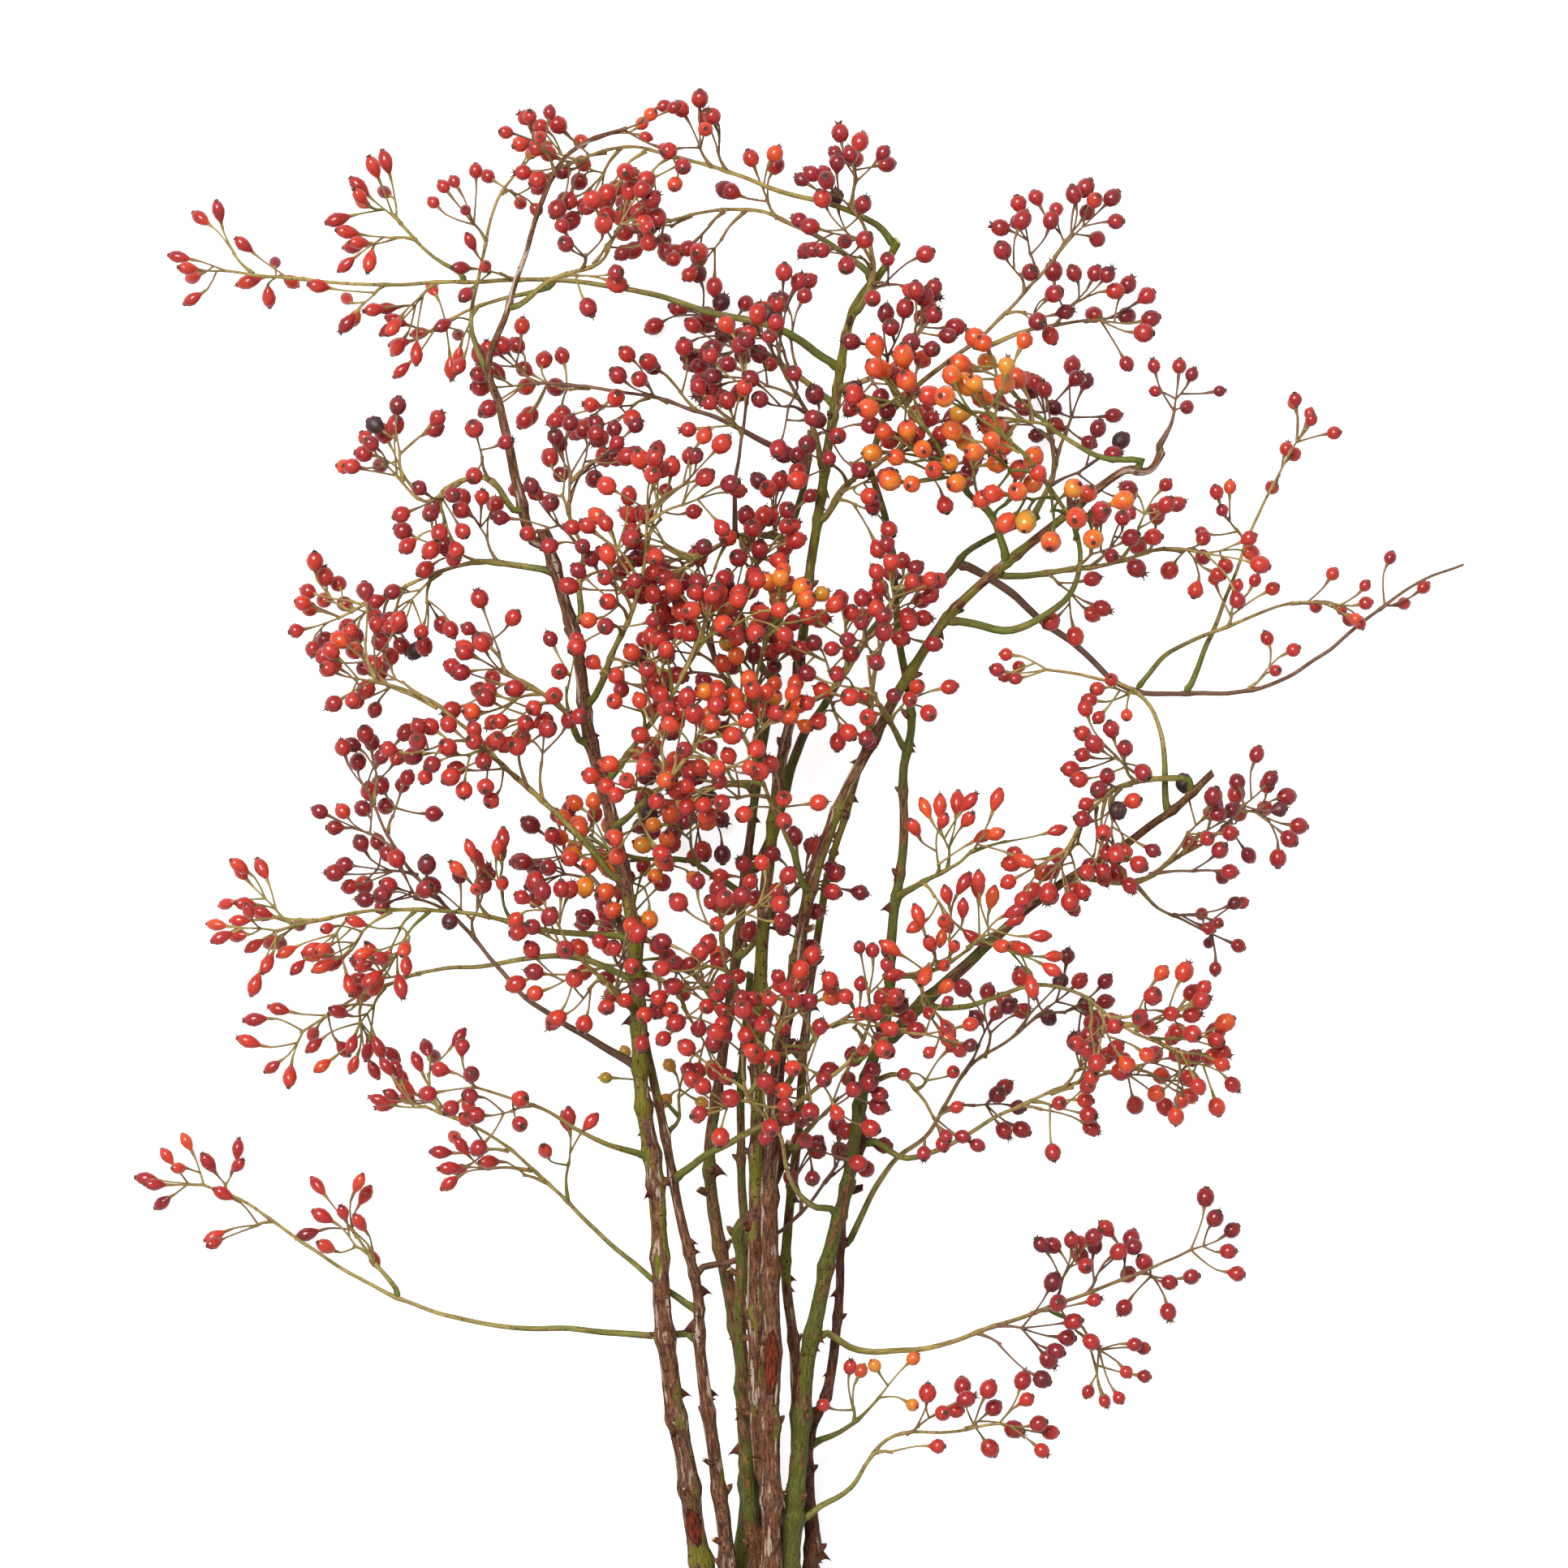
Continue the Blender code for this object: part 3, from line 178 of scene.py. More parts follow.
def cane_limb(name, tie, cut_y, height, radii, bark, route):
    """A cane from its cut end, through the band, to its tip. Its held points stay where they are."""
    tie_x, tie_z = tie
    cut_x = TIE_MIDDLE + (tie_x - TIE_MIDDLE) * CUT_SPREAD
    bend_x = cut_x + (tie_x - cut_x) * BEND_SHARE
    before_bend = Vector((cut_x, cut_y)).lerp(Vector((bend_x, FLAT_END)), FLAT_SHARE)
    between = ((tie_x + route[0][0]) / 2, (TIE_END + route[0][1]) / 2)
    held = [(cut_x, cut_y), before_bend, (bend_x, FLAT_END), (tie_x, TIE_START), (tie_x, TIE_END)]
    limb = Limb(name, name, None, radii[0], radii[1], height, held + [between] + route, bark=bark)
    limb.held = limb.skip_to = len(held)
    lowest_row = tie_z < LOWEST_ROW_BELOW
    rest_z = radii[0] * math.cos(math.pi / CANE_SIDES) if lowest_row else tie_z
    for step, point in enumerate(limb.points):
        point.z = tie_z + (height - tie_z) * smooth((point.y - TIE_END) / (RISE_END - TIE_END))
        if step <= held.index((bend_x, FLAT_END)):
            point.z = rest_z
    return limb


# %% The ten canes
# name: (x and z in the band, y of the cut end, height above, two radii, bark, route above the band)
CANES = {
    "cane_a": ((-26.6, 14.0), 6, 88, (4.8, 3.5), "brown", [(-35, 88), (-40, 122), (-48, 169), (-54, 252),
        (-59, 289), (-60, 322), (-64, 365), (-72, 399), (-80, 432), (-85, 465), (-92, 492), (-99, 515)]),
    "cane_b": ((-21.8, 22.2), 2, 58, (4.0, 2.2), "brown", [(-24, 88), (-28, 125), (-35, 178), (-36, 199),
        (-45, 243), (-55, 292), (-63, 329), (-68, 355)]),
    "cane_c": ((-21.8, 5.8), 0, 42, (4.2, 1.9), "green", [(-18, 88), (-15, 112), (-17, 165), (-21, 190),
        (-29, 231), (-31, 254), (-27, 287), (-20, 339), (-17, 365), (-12, 405), (-7, 439), (-2, 479),
        (2, 511), (9, 538), (11, 557)]),
    "cane_d": ((-16.9, 13.6), 9, 66, (4.2, 2.6), "green", [(-11, 88), (-14, 105), (-18, 161), (-18, 212),
        (-19, 226), (-12, 233), (-4, 246), (3, 262)]),
    "cane_f": ((-12.0, 22.2), 4, 92, (4.7, 2.1), "brown", [(-5, 88), (-6, 143), (-5, 190), (-6, 237),
        (-3, 287), (4, 330), (11, 367), (22, 399), (38, 431), (53, 458), (70, 482), (93, 502), (118, 522),
        (139, 538), (149, 538), (155, 547)]),
    "cane_g": ((-2.2, 22.0), 0, 88, (4.3, 1.8), "green", [(3, 88), (6, 131), (10, 172), (18, 213),
        (25, 239), (32, 282), (42, 314), (45, 354), (49, 383), (49, 415), (52, 436), (47, 472), (43, 512),
        (37, 534), (33, 547)]),
    "cane_h": ((2.8, 13.6), 7, 54, (3.9, 2.2), "dark", [(12, 88), (10, 119), (11, 139), (18, 157),
        (23, 196), (24, 219), (26, 239), (34, 265)]),
    "cane_i": ((-2.4, 5.3), 5, 46, (3.6, 1.9), "brown", [(4, 92), (6, 139), (4, 170), (1, 216), (6, 265),
        (9, 308), (17, 365), (29, 409), (38, 440)]),
    "cane_k": ((-12.0, 5.1), 3, 28, (3.4, 2.2), "green", [(-9, 92), (-11, 165), (-17, 232), (-18, 261),
        (-17, 292), (-14, 332)]),
    "cane_l": ((-7.1, 13.8), 8, 72, (4.5, 2.2), "brown", [(-1, 90), (-9, 132), (-12, 165), (-12, 199),
        (-11, 265), (-9, 349), (-5, 389), (-2, 415), (4, 442), (11, 500), (19, 554), (25, 592), (31, 609),
        (41, 622), (47, 634)]),
}

limbs = {name: cane_limb(name, *facts) for name, facts in CANES.items()}
print("canes:", len(limbs))

# %% [markdown]
# ## What grows from the canes
#
# A fork or a small twig is one body with its cane or spray. A spray is a piece of its own that
# starts at its cane's skin. Both are described in the same words, so two short functions keep the
# list below easy to read.

# %% Forks and small twigs
THIN = 0.8  # the radius at the tip, where nothing else is said


def fork(name, parent, thick, level, route, **crop):
    """A thick branch or a small twig that is one body with its cane or spray."""
    return Limb(name, crop.pop("piece", parent), parent, thick, crop.pop("thin", THIN), level, route,
                **crop)


def spray(name, parent, level, route, hips, **crop):
    """A side spray: a solid of its own that starts at its cane's skin."""
    return Limb(name, name, parent, crop.pop("thick", 1.5), crop.pop("thin", THIN), level, route,
                hips=hips, **crop)


# name, what it grows from, its radius, its height, its route; and for a spray how many hips
BRANCHES = [
    fork("fork_top", "cane_a", 2.3, 100, [(-99, 509), (-107, 524), (-116, 564), (-121, 580), (-113, 603),
        (-107, 622), (-92, 662), (-77, 673), (-64, 677)], thin=1.1, hips=10, start=0.7, shape="small",
        bark="dark"),
    fork("fork_back", "cane_c", 2.5, 48, [(-15, 375), (-3, 394), (6, 425), (16, 442), (49, 489), (66, 495),
        (78, 508), (106, 521)], thin=1.6),
    fork("fork_right", "cane_g", 3.0, 84, [(40, 306), (53, 316), (73, 334), (92, 352), (111, 367),
        (130, 379), (156, 397), (176, 415)], thin=2.1),
    fork("twig_left", "cane_a", 1.5, 100, [(-55, 257), (-75, 263), (-99, 277), (-127, 287)], hips=10,
        start=0.5, reach=14),
    fork("twig_unripe", "cane_b", 1.2, 22, [(-49, 264), (-44, 270), (-44, 280)], hips=8, start=0.3,
        shape="small", colour="unripe"),
    fork("twig_top_b", "cane_b", 1.6, 42, [(-68, 354), (-75, 366), (-92, 381)], hips=12, start=0.3,
        reach=14, colour="maroon"),
    fork("twig_hook", "cane_d", 1.4, 82, [(3, 261), (8, 266), (14, 272), (20, 278)], hips=18, start=0.15,
        reach=14, colour="maroon"),
    fork("twig_tip", "cane_f", 1.5, 84, [(154, 546), (158, 556), (160, 564)], hips=6, reach=10,
        shape="small", colour="maroon", bark="dark"),
    fork("twig_inner", "cane_f", 1.6, 116, [(37, 430), (36, 448), (40, 468), (45, 487)], hips=12, start=0.3,
        reach=14),
    fork("twig_low", "cane_h", 1.5, 44, [(11, 136), (23, 140), (33, 148), (40, 156)], hips=6, start=0.3,
        reach=8, shape="small", colour="orange"),
    fork("twig_hang", "cane_g", 1.4, 104, [(34, 288), (46, 291), (55, 284), (61, 274)], hips=9, reach=16,
        shape="small"),
    fork("inner_low_left", "cane_a", 1.6, 112, [(-60, 318), (-70, 326), (-80, 336), (-92, 346)], hips=24,
        start=0.15, reach=16),
    fork("inner_left", "cane_a", 1.6, 96, [(-79, 428), (-90, 440), (-104, 450), (-116, 456)], hips=28,
        start=0.15, reach=16),
    fork("inner_high", "cane_a", 1.6, 140, [(-70, 392), (-60, 400), (-48, 410), (-36, 424)], hips=32,
        start=0.2, reach=18, colour="scarlet"),
    fork("low_front", "cane_l", 1.6, 116, [(-10, 310), (-17, 322), (-24, 336), (-26, 352)], hips=34,
        start=0.15, reach=18),
    fork("low_right_front", "cane_f", 1.6, 118, [(-4, 283), (6, 296), (14, 308), (26, 316)], hips=30,
        start=0.2, reach=18),
    fork("mid_right_front", "cane_g", 1.5, 112, [(50, 425), (43, 436), (36, 448), (34, 462)], hips=16,
        start=0.2, reach=14),
    fork("high_front", "cane_l", 1.5, 112, [(17, 540), (12, 556), (4, 571), (-4, 584)], hips=30, start=0.15,
        reach=18, colour="maroon"),
    fork("high_right", "cane_l", 1.4, 100, [(22, 573), (34, 576), (46, 582), (54, 592)], hips=20,
        start=0.25, reach=14, colour="maroon"),
    fork("middle_front", "cane_c", 1.5, 78, [(-5, 455), (-14, 468), (-18, 484), (-14, 498)], hips=22,
        start=0.3, reach=16),
]
print("forks and twigs on the canes:", len(BRANCHES))

# %% Sprays on the left
BRANCHES += [
    spray("left_low_long", "cane_b", 6, [(-35, 180), (-55, 180), (-89, 183), (-122, 184), (-162, 195),
        (-197, 215), (-225, 234), (-245, 242)], 12, shape="oval", reach=12, start=0.75, thick=1.7),
    fork("left_low_fork", "left_low_long", 1.2, 9, [(-162, 195), (-172, 210), (-182, 224)], hips=9,
        shape="oval", reach=12),
    spray("left_low", "cane_b", 56, [(-36, 193), (-55, 205), (-75, 222), (-95, 242), (-122, 265),
        (-149, 277)], 26, shape="oval"),
    spray("left_brown", "cane_a", 74, [(-59, 295), (-75, 302), (-92, 312), (-109, 325), (-132, 352),
        (-159, 382), (-172, 409)], 38, reach=22, bark="dark", thick=1.8, start=0.45, colour="maroon"),
    spray("left_mid_high", "cane_a", 104, [(-62, 347), (-89, 349), (-109, 353), (-135, 358), (-172, 358),
        (-192, 354), (-208, 350)], 46, shape="oval", colour="scarlet", start=0.3),
    spray("left_mid_low", "cane_a", 24, [(-60, 330), (-89, 339), (-122, 335), (-149, 332), (-178, 321),
        (-202, 306)], 24, shape="oval", reach=16, start=0.55),
    spray("left_up", "cane_a", 118, [(-66, 372), (-84, 389), (-112, 415), (-130, 433), (-148, 446),
        (-168, 452)], 44, start=0.3),
    spray("left_high", "cane_a", 66, [(-94, 498), (-122, 501), (-135, 499), (-157, 491), (-184, 478)], 38,
        reach=18, start=0.2),
    spray("left_high_arch", "fork_top", 112, [(-107, 523), (-122, 535), (-135, 532), (-146, 525),
        (-158, 536)], 26, reach=16, start=0.15),
]
print("with the left side:", len(BRANCHES))

# %% Sprays in the middle
BRANCHES += [
    spray("middle_a", "cane_a", 124, [(-75, 411), (-62, 425), (-50, 440), (-40, 456), (-33, 472)], 46,
        start=0.1, colour="scarlet"),
    spray("middle_b", "cane_a", 128, [(-81, 444), (-69, 465), (-60, 485), (-56, 503), (-55, 522)], 44,
        start=0.1),
    spray("middle_c", "cane_a", 92, [(-88, 476), (-84, 490), (-82, 504), (-88, 520), (-87, 538)], 30,
        reach=18, start=0.15, colour="maroon"),
    spray("middle_d", "cane_c", 76, [(-7, 438), (-17, 446), (-26, 456), (-32, 470)], 34, start=0.1,
        colour="maroon"),
    spray("middle_e", "cane_c", 8, [(-12, 407), (-22, 410), (-34, 408), (-46, 402)], 26, reach=18,
        start=0.2, colour="maroon"),
    spray("green_arch", "cane_b", 122, [(-46, 247), (-28, 259), (-5, 272), (14, 286), (28, 299), (35, 314),
        (34, 326)], 6, thick=1.7, reach=10, start=0.7, shape="small"),
    fork("green_arch_fork", "green_arch", 1.2, 128, [(28, 299), (43, 308), (58, 309)], hips=6, reach=10,
        shape="small"),
    spray("green_curve", "cane_g", 112, [(23, 233), (11, 237), (3, 247), (-3, 269), (-15, 283), (-17, 302)],
        12, reach=14, start=0.6),
    fork("green_curve_fork", "green_curve", 1.1, 116, [(-15, 283), (-7, 295), (-2, 312)], hips=8, reach=12),
    spray("cross_dark", "cane_b", 44, [(-37, 207), (-22, 211), (-10, 219), (2, 227), (13, 239), (22, 252)],
        12, reach=14, start=0.5, colour="maroon", bark="dark"),
    spray("cluster_centre", "cane_c", 100, [(2, 510), (-8, 513), (-18, 512), (-28, 507), (-38, 500)], 34,
        reach=18, start=0.1),
    fork("cluster_fork", "cluster_centre", 1.2, 108, [(-21, 514), (-20, 532), (-18, 547), (-14, 572)],
        hips=10, reach=14, start=0.5, bark="dark"),
    spray("centre_left", "cane_c", 52, [(-24, 314), (-32, 325), (-42, 335), (-53, 343), (-62, 348)], 28,
        start=0.2),
    spray("centre_right", "cane_c", 60, [(-20, 339), (-10, 347), (-2, 359), (6, 369)], 16, reach=16,
        start=0.3, colour="maroon"),
    spray("centre_orange", "cane_c", 74, [(-17, 365), (-29, 372), (-42, 379), (-59, 379), (-72, 382)], 26,
        reach=18, start=0.25, colour="orange"),
    spray("front_orange", "cane_l", 108, [(-2, 415), (-9, 425), (-12, 442), (-10, 459), (-5, 475)], 22,
        reach=16, start=0.2, colour="orange"),
    spray("front_red", "cane_f", 124, [(11, 367), (3, 384), (-6, 404), (-14, 426)], 26, reach=16,
        start=0.45, colour="scarlet"),
    spray("right_of_b", "cane_b", 84, [(-63, 330), (-52, 330), (-44, 324), (-39, 314)], 18, reach=18,
        start=0.25),
    spray("upper_right_l", "cane_l", 98, [(4, 442), (15, 446), (26, 456), (33, 470)], 26, reach=18,
        start=0.2),
    spray("upper_tip_l", "cane_l", 94, [(14, 519), (25, 532), (35, 539), (45, 545)], 24, start=0.2),
]
print("with the middle:", len(BRANCHES))

# %% Sprays at the top
BRANCHES += [
    spray("top_left", "cane_l", 88, [(46, 632), (38, 640), (25, 646), (-5, 654), (-20, 660), (-45, 667),
        (-65, 671), (-89, 663)], 38, reach=18, start=0.5, thick=1.6),
    spray("top_left_low", "cane_l", 46, [(37, 617), (23, 630), (6, 640), (-12, 647), (-32, 647),
        (-52, 642)], 22, reach=18),
    spray("top_long", "cane_l", 60, [(23, 582), (-2, 597), (-29, 604), (-55, 612), (-95, 618), (-132, 617),
        (-172, 616), (-205, 619), (-232, 622)], 26, shape="oval", reach=14, start=0.45, thick=1.8),
    fork("top_long_fork_a", "top_long", 1.2, 66, [(-132, 617), (-144, 627), (-162, 645)], hips=12,
        shape="oval", reach=12),
    fork("top_long_fork_b", "top_long", 1.2, 52, [(-95, 618), (-122, 609), (-145, 599)], hips=12,
        shape="oval", reach=12),
    fork("top_up", "fork_top", 1.3, 112, [(-112, 605), (-95, 615), (-75, 622), (-69, 632)], piece="cane_a",
        hips=14, reach=14),
    fork("top_curl", "fork_top", 1.3, 56, [(-120, 577), (-127, 592), (-128, 605), (-124, 625), (-119, 649),
        (-109, 665)], piece="cane_a", hips=12, reach=12, shape="small"),
    spray("upper_middle", "cane_c", 54, [(9, 545), (-8, 552), (-22, 559), (-34, 564), (-55, 570),
        (-96, 576), (-109, 575)], 32, reach=16, start=0.3, bark="dark"),
    spray("upper_dark", "cane_l", 12, [(21, 567), (6, 578), (-7, 589), (-24, 599), (-35, 607)], 32,
        start=0.2, colour="maroon"),
    spray("top_centre", "cane_l", 76, [(30, 605), (36, 616), (36, 628), (32, 640), (26, 648)], 28, reach=16,
        start=0.15, colour="maroon"),
]
print("with the top:", len(BRANCHES))

# %% Sprays on the upper right
BRANCHES += [
    spray("right_top", "cane_g", 94, [(34, 545), (41, 559), (57, 575), (77, 590), (94, 606), (104, 617),
        (118, 634)], 22, reach=15, start=0.6, colour="maroon"),
    fork("right_top_fork", "right_top", 1.2, 84, [(77, 590), (98, 595), (118, 599), (131, 600)], hips=12,
        reach=14, colour="maroon"),
    spray("orange_a", "cane_f", 114, [(92, 501), (85, 519), (72, 531), (60, 551), (49, 565)], 26, start=0.2,
        shape="large", colour="orange", thick=1.7),
    spray("orange_b", "cane_f", 142, [(67, 478), (93, 473), (111, 482), (120, 497), (117, 514), (107, 530),
        (93, 546), (74, 560)], 24, reach=18, start=0.45, shape="large", colour="orange", thick=1.8),
    spray("orange_c", "cane_f", 98, [(145, 538), (131, 543), (114, 552), (99, 564), (86, 576)], 13,
        reach=16, start=0.3, shape="large", colour="orange"),
    spray("right_flat", "cane_f", 60, [(87, 497), (111, 497), (136, 501), (155, 507), (175, 505)], 32,
        reach=18, start=0.1),
    spray("back_dark", "fork_back", 8, [(104, 520), (111, 535), (115, 549), (121, 565)], 20, start=0.2,
        colour="maroon"),
    spray("right_long", "fork_back", 12, [(72, 502), (88, 494), (105, 480), (122, 467), (143, 450),
        (168, 448), (199, 450), (225, 464), (245, 480), (265, 494), (285, 502)], 6, reach=10, start=0.3,
        thick=1.9, bark="dark", shape="small", bare_tip=True),
    fork("right_long_up", "right_long", 1.4, 34, [(168, 448), (175, 465), (186, 492), (196, 519),
        (211, 549)], thin=0.7, hips=12, reach=12, start=0.35, shape="small"),
    fork("right_long_mid", "right_long", 1.2, 46, [(148, 449), (161, 465), (188, 477), (211, 485),
        (228, 485)], thin=0.7, hips=12, reach=10, start=0.2, shape="small"),
]
print("with the upper right:", len(BRANCHES))

# %% Sprays on the right
BRANCHES += [
    spray("right_twist", "fork_right", 88, [(158, 399), (156, 414), (154, 432), (145, 447), (125, 454),
        (106, 457)], 10, reach=10, start=0.3, shape="small"),
    spray("right_cluster", "fork_right", 108, [(168, 407), (156, 412), (145, 411), (134, 407), (122, 396),
        (114, 380)], 42, reach=18, start=0.25),
    spray("right_low_dark", "fork_right", 52, [(122, 374), (145, 370), (161, 379), (178, 389), (191, 402)],
        26, start=0.25, colour="maroon"),
    fork("right_low_fork", "right_low_dark", 1.1, 30, [(145, 370), (155, 359), (175, 349)], thin=0.7,
        hips=8, reach=10, shape="small", colour="maroon"),
    spray("bright_low", "cane_g", 118, [(43, 330), (55, 332), (68, 338), (81, 349)], 28, reach=18,
        start=0.2, shape="oval", colour="scarlet"),
    spray("bright_high", "cane_g", 108, [(46, 365), (57, 370), (68, 376), (78, 384)], 16, reach=16,
        start=0.2, shape="oval", colour="scarlet"),
    spray("right_big", "fork_right", 96, [(59, 321), (68, 318), (80, 320), (103, 328), (121, 324),
        (137, 312), (163, 300)], 34, reach=18, start=0.6, colour="scarlet"),
    spray("right_straight", "cane_h", 58, [(33, 262), (51, 255), (71, 262), (91, 274), (125, 288),
        (148, 294)], 28, reach=16, start=0.55),
    spray("right_rise", "cane_h", 18, [(24, 219), (33, 232), (45, 252), (61, 265), (75, 289), (95, 304),
        (111, 317)], 24, reach=18, start=0.45, colour="maroon"),
    spray("low_right", "cane_g", 7, [(12, 182), (31, 175), (61, 176), (91, 185), (132, 199), (152, 206),
        (172, 215)], 32, reach=15, start=0.38, thick=1.6, colour="maroon"),
    fork("low_right_fork", "low_right", 1.1, 6, [(111, 191), (125, 182), (131, 165)], thin=0.7, hips=8,
        reach=10, shape="small"),
    spray("low_end", "cane_g", 34, [(4, 105), (15, 110), (28, 117), (35, 129), (46, 139), (65, 140),
        (91, 144)], 16, reach=12, start=0.35),
]
print("all branches:", len(BRANCHES), "asking for", sum(limb.hips for limb in BRANCHES), "hips")

# %% [markdown]
# ## Heights that keep the stems apart
#
# Seen from above the stems cross each other hundreds of times. So every stem first runs at its
# own height. Then, many times over, each crossing that is too tight pushes the upper stem up a
# little and the lower one down, while the stems smooth themselves out. It is what happens when a
# real bunch is laid down and its springy stems settle.

# %% Planting each branch on its parent
STEM_CLEAR = 1.6  # air kept between stems of different pieces
SLOPE_SPARE = 1.12  # extra, because the stems cross at a slant
FIRST_RISE = 0.15  # the share of its climb that a branch makes at once
EASE = 0.12  # how far a point moves towards its neighbours' mean each turn
PUSH = 0.35  # the share of the missing room that each stem gives way
TURNS, CALM_TURNS = 260, 60  # the last turns only push and no longer smooth
LOWEST_SPRAY, LOWEST_CANE = 3.0, 0.5 # air kept under sprays and under canes
PARALLEL = 1e-6


def nearest_on(limb, target):
    """The place on a limb, seen from above, that is nearest to a point."""
    best = None
    for step in range(len(limb.points) - 1):
        a, b = limb.points[step].xy, limb.points[step + 1].xy
        along = b - a
        share = clamp((target - a).dot(along) / along.length_squared)
        gap = (a + along * share - target).length
        if best is None or gap < best[0]:
            best = (gap, step, share)
    return best[1], best[2]


def plant(limb, limbs):
    """Root a limb on its parent and draw its first heights towards its level."""
    parent = limbs[limb.parent]
    limb.root = nearest_on(parent, limb.points[0].xy)
    foot = parent.at(*limb.root)
    limb.points[0] = foot.copy()
    length = sum((b.xy - a.xy).length for a, b in zip(limb.points, limb.points[1:]))
    done = 0.0
    for before, point in zip(limb.points, limb.points[1:]):
        done += (point.xy - before.xy).length
        rise = smooth(FIRST_RISE + (1.0 - FIRST_RISE) * done / length)
        point.z = foot.z + (limb.level - foot.z) * rise


for limb in BRANCHES:
    plant(limb, limbs)
    limbs[limb.name] = limb
print("stems planted:", len(limbs))

# %% Where stems cross
def crossings(a, b, c, d):
    """Fractions along a-b and c-d, seen from above, where the two may be nearest."""
    u, v, w = b - a, d - c, c - a
    pairs = []
    turn = u.x * v.y - u.y * v.x
    if abs(turn) > PARALLEL:
        s = (w.x * v.y - w.y * v.x) / turn
        t = (w.x * u.y - w.y * u.x) / turn
        if 0 <= s <= 1 and 0 <= t <= 1:
            pairs.append((s, t))
    for t, end in ((0.0, c), (1.0, d)):
        pairs.append((clamp((end - a).dot(u) / u.length_squared), t))
    for s, end in ((0.0, a), (1.0, b)):
        pairs.append((s, clamp((end - c).dot(v) / v.length_squared)))
    return pairs


def apart_in_plan(a, b, c, d, room):
    """True when two stretches are further apart than a width, seen from above."""
    return any(max(p, q) + room < min(r, s) or max(r, s) + room < min(p, q)
               for p, q, r, s in zip(a, b, c, d))


def clashes_between(one, other):
    """The places where two stems pass over each other, and how far apart they must be there."""
    first = 1 if other.parent == one.name else other.skip_to
    for i in range(one.skip_to, len(one.points) - 1):
        a, b = one.points[i].xy, one.points[i + 1].xy
        wide = one.radius(i) + other.thick + STEM_CLEAR
        for j in range(first, len(other.points) - 1):
            c, d = other.points[j].xy, other.points[j + 1].xy
            if apart_in_plan(a, b, c, d, wide):
                continue
            for s, t in crossings(a, b, c, d):
                room = one.radius(i + s) + other.radius(j + t) + STEM_CLEAR
                apart = (a.lerp(b, s) - c.lerp(d, t)).length
                if apart < room:
                    lift = math.sqrt(room * room - apart * apart) * SLOPE_SPARE
                    above = one.at(i, s).z >= other.at(j, t).z
                    yield one, i, s, other, j, t, lift, 1 if above else -1


stems = list(limbs.values())
clashes = [clash for number, one in enumerate(stems) for other in stems[number + 1:]
           if one.piece != other.piece for clash in clashes_between(one, other)]
print("tight crossings:", len(clashes))

# %% Letting the stems settle
def nudge(limb, step, share, amount):
    """Move the two points round a place so that the place itself moves by the amount."""
    near, far = 1.0 - share, share
    spread = near * near + far * far
    if step >= limb.held:
        limb.points[step].z += amount * near / spread
    if step + 1 >= limb.held:
        limb.points[step + 1].z += amount * far / spread


def ease(limb):
    """Draw each free point a little towards the mean of its neighbours."""
    heights = [point.z for point in limb.points]
    for step in range(max(1, limb.held), len(heights) - 1):
        middle = (heights[step - 1] + heights[step + 1]) / 2
        limb.points[step].z += EASE * (middle - heights[step])


def keep_rooted(limb):
    """Put a branch's foot back on its parent and keep its points above the table."""
    if limb.root:
        limb.points[0] = limbs[limb.parent].at(*limb.root)
    air = LOWEST_SPRAY if limb.parent else LOWEST_CANE
    for step in range(limb.held, len(limb.points)):
        limb.points[step].z = max(limb.radius(step) + air, limb.points[step].z)


for turn in range(TURNS):
    if turn < TURNS - CALM_TURNS:
        for limb in stems:
            ease(limb)
    for one, i, s, other, j, t, lift, sign in clashes:
        lack = lift - sign * (one.at(i, s).z - other.at(j, t).z)
        if lack > 0:
            nudge(one, i, s, PUSH * lack * sign)
            nudge(other, j, t, -PUSH * lack * sign)
    for limb in stems:
        keep_rooted(limb)
print("highest stem point:", round(max(point.z for limb in stems for point in limb.points), 1), "mm")

# %% [markdown]
# ## Room for every hip
#
# Hips may crowd together but they can't pass through each other. To try thousands of places
# quickly, all that is placed so far is kept as round-ended rods in a grid of cubes, and a new rod
# is compared only with those in the cubes that it touches. A stem is a row of rods, a stalk is a
# thin rod, and a hip is a short fat one.

# %% A crowd of rods
TWIG_GAP = 0.9  # air kept round twigs, stalks and hips
TINY = 1e-9


def rod_gap(p, q, r, s):
    """The shortest distance between the segments p-q and r-s."""
    u, v, w = q - p, s - r, p - r
    uu, uv, vv = u.dot(u), u.dot(v), v.dot(v)
    uw, vw = u.dot(w), v.dot(w)
    spread = uu * vv - uv * uv
    along = 0.0 if spread < TINY else clamp((uv * vw - vv * uw) / spread)
    across = (uv * along + vw) / vv if vv > TINY else 0.0
    if across < 0.0 or across > 1.0:
        across = clamp(across)
        along = clamp((uv * across - uw) / uu) if uu > TINY else 0.0
    return (w + u * along - v * across).length


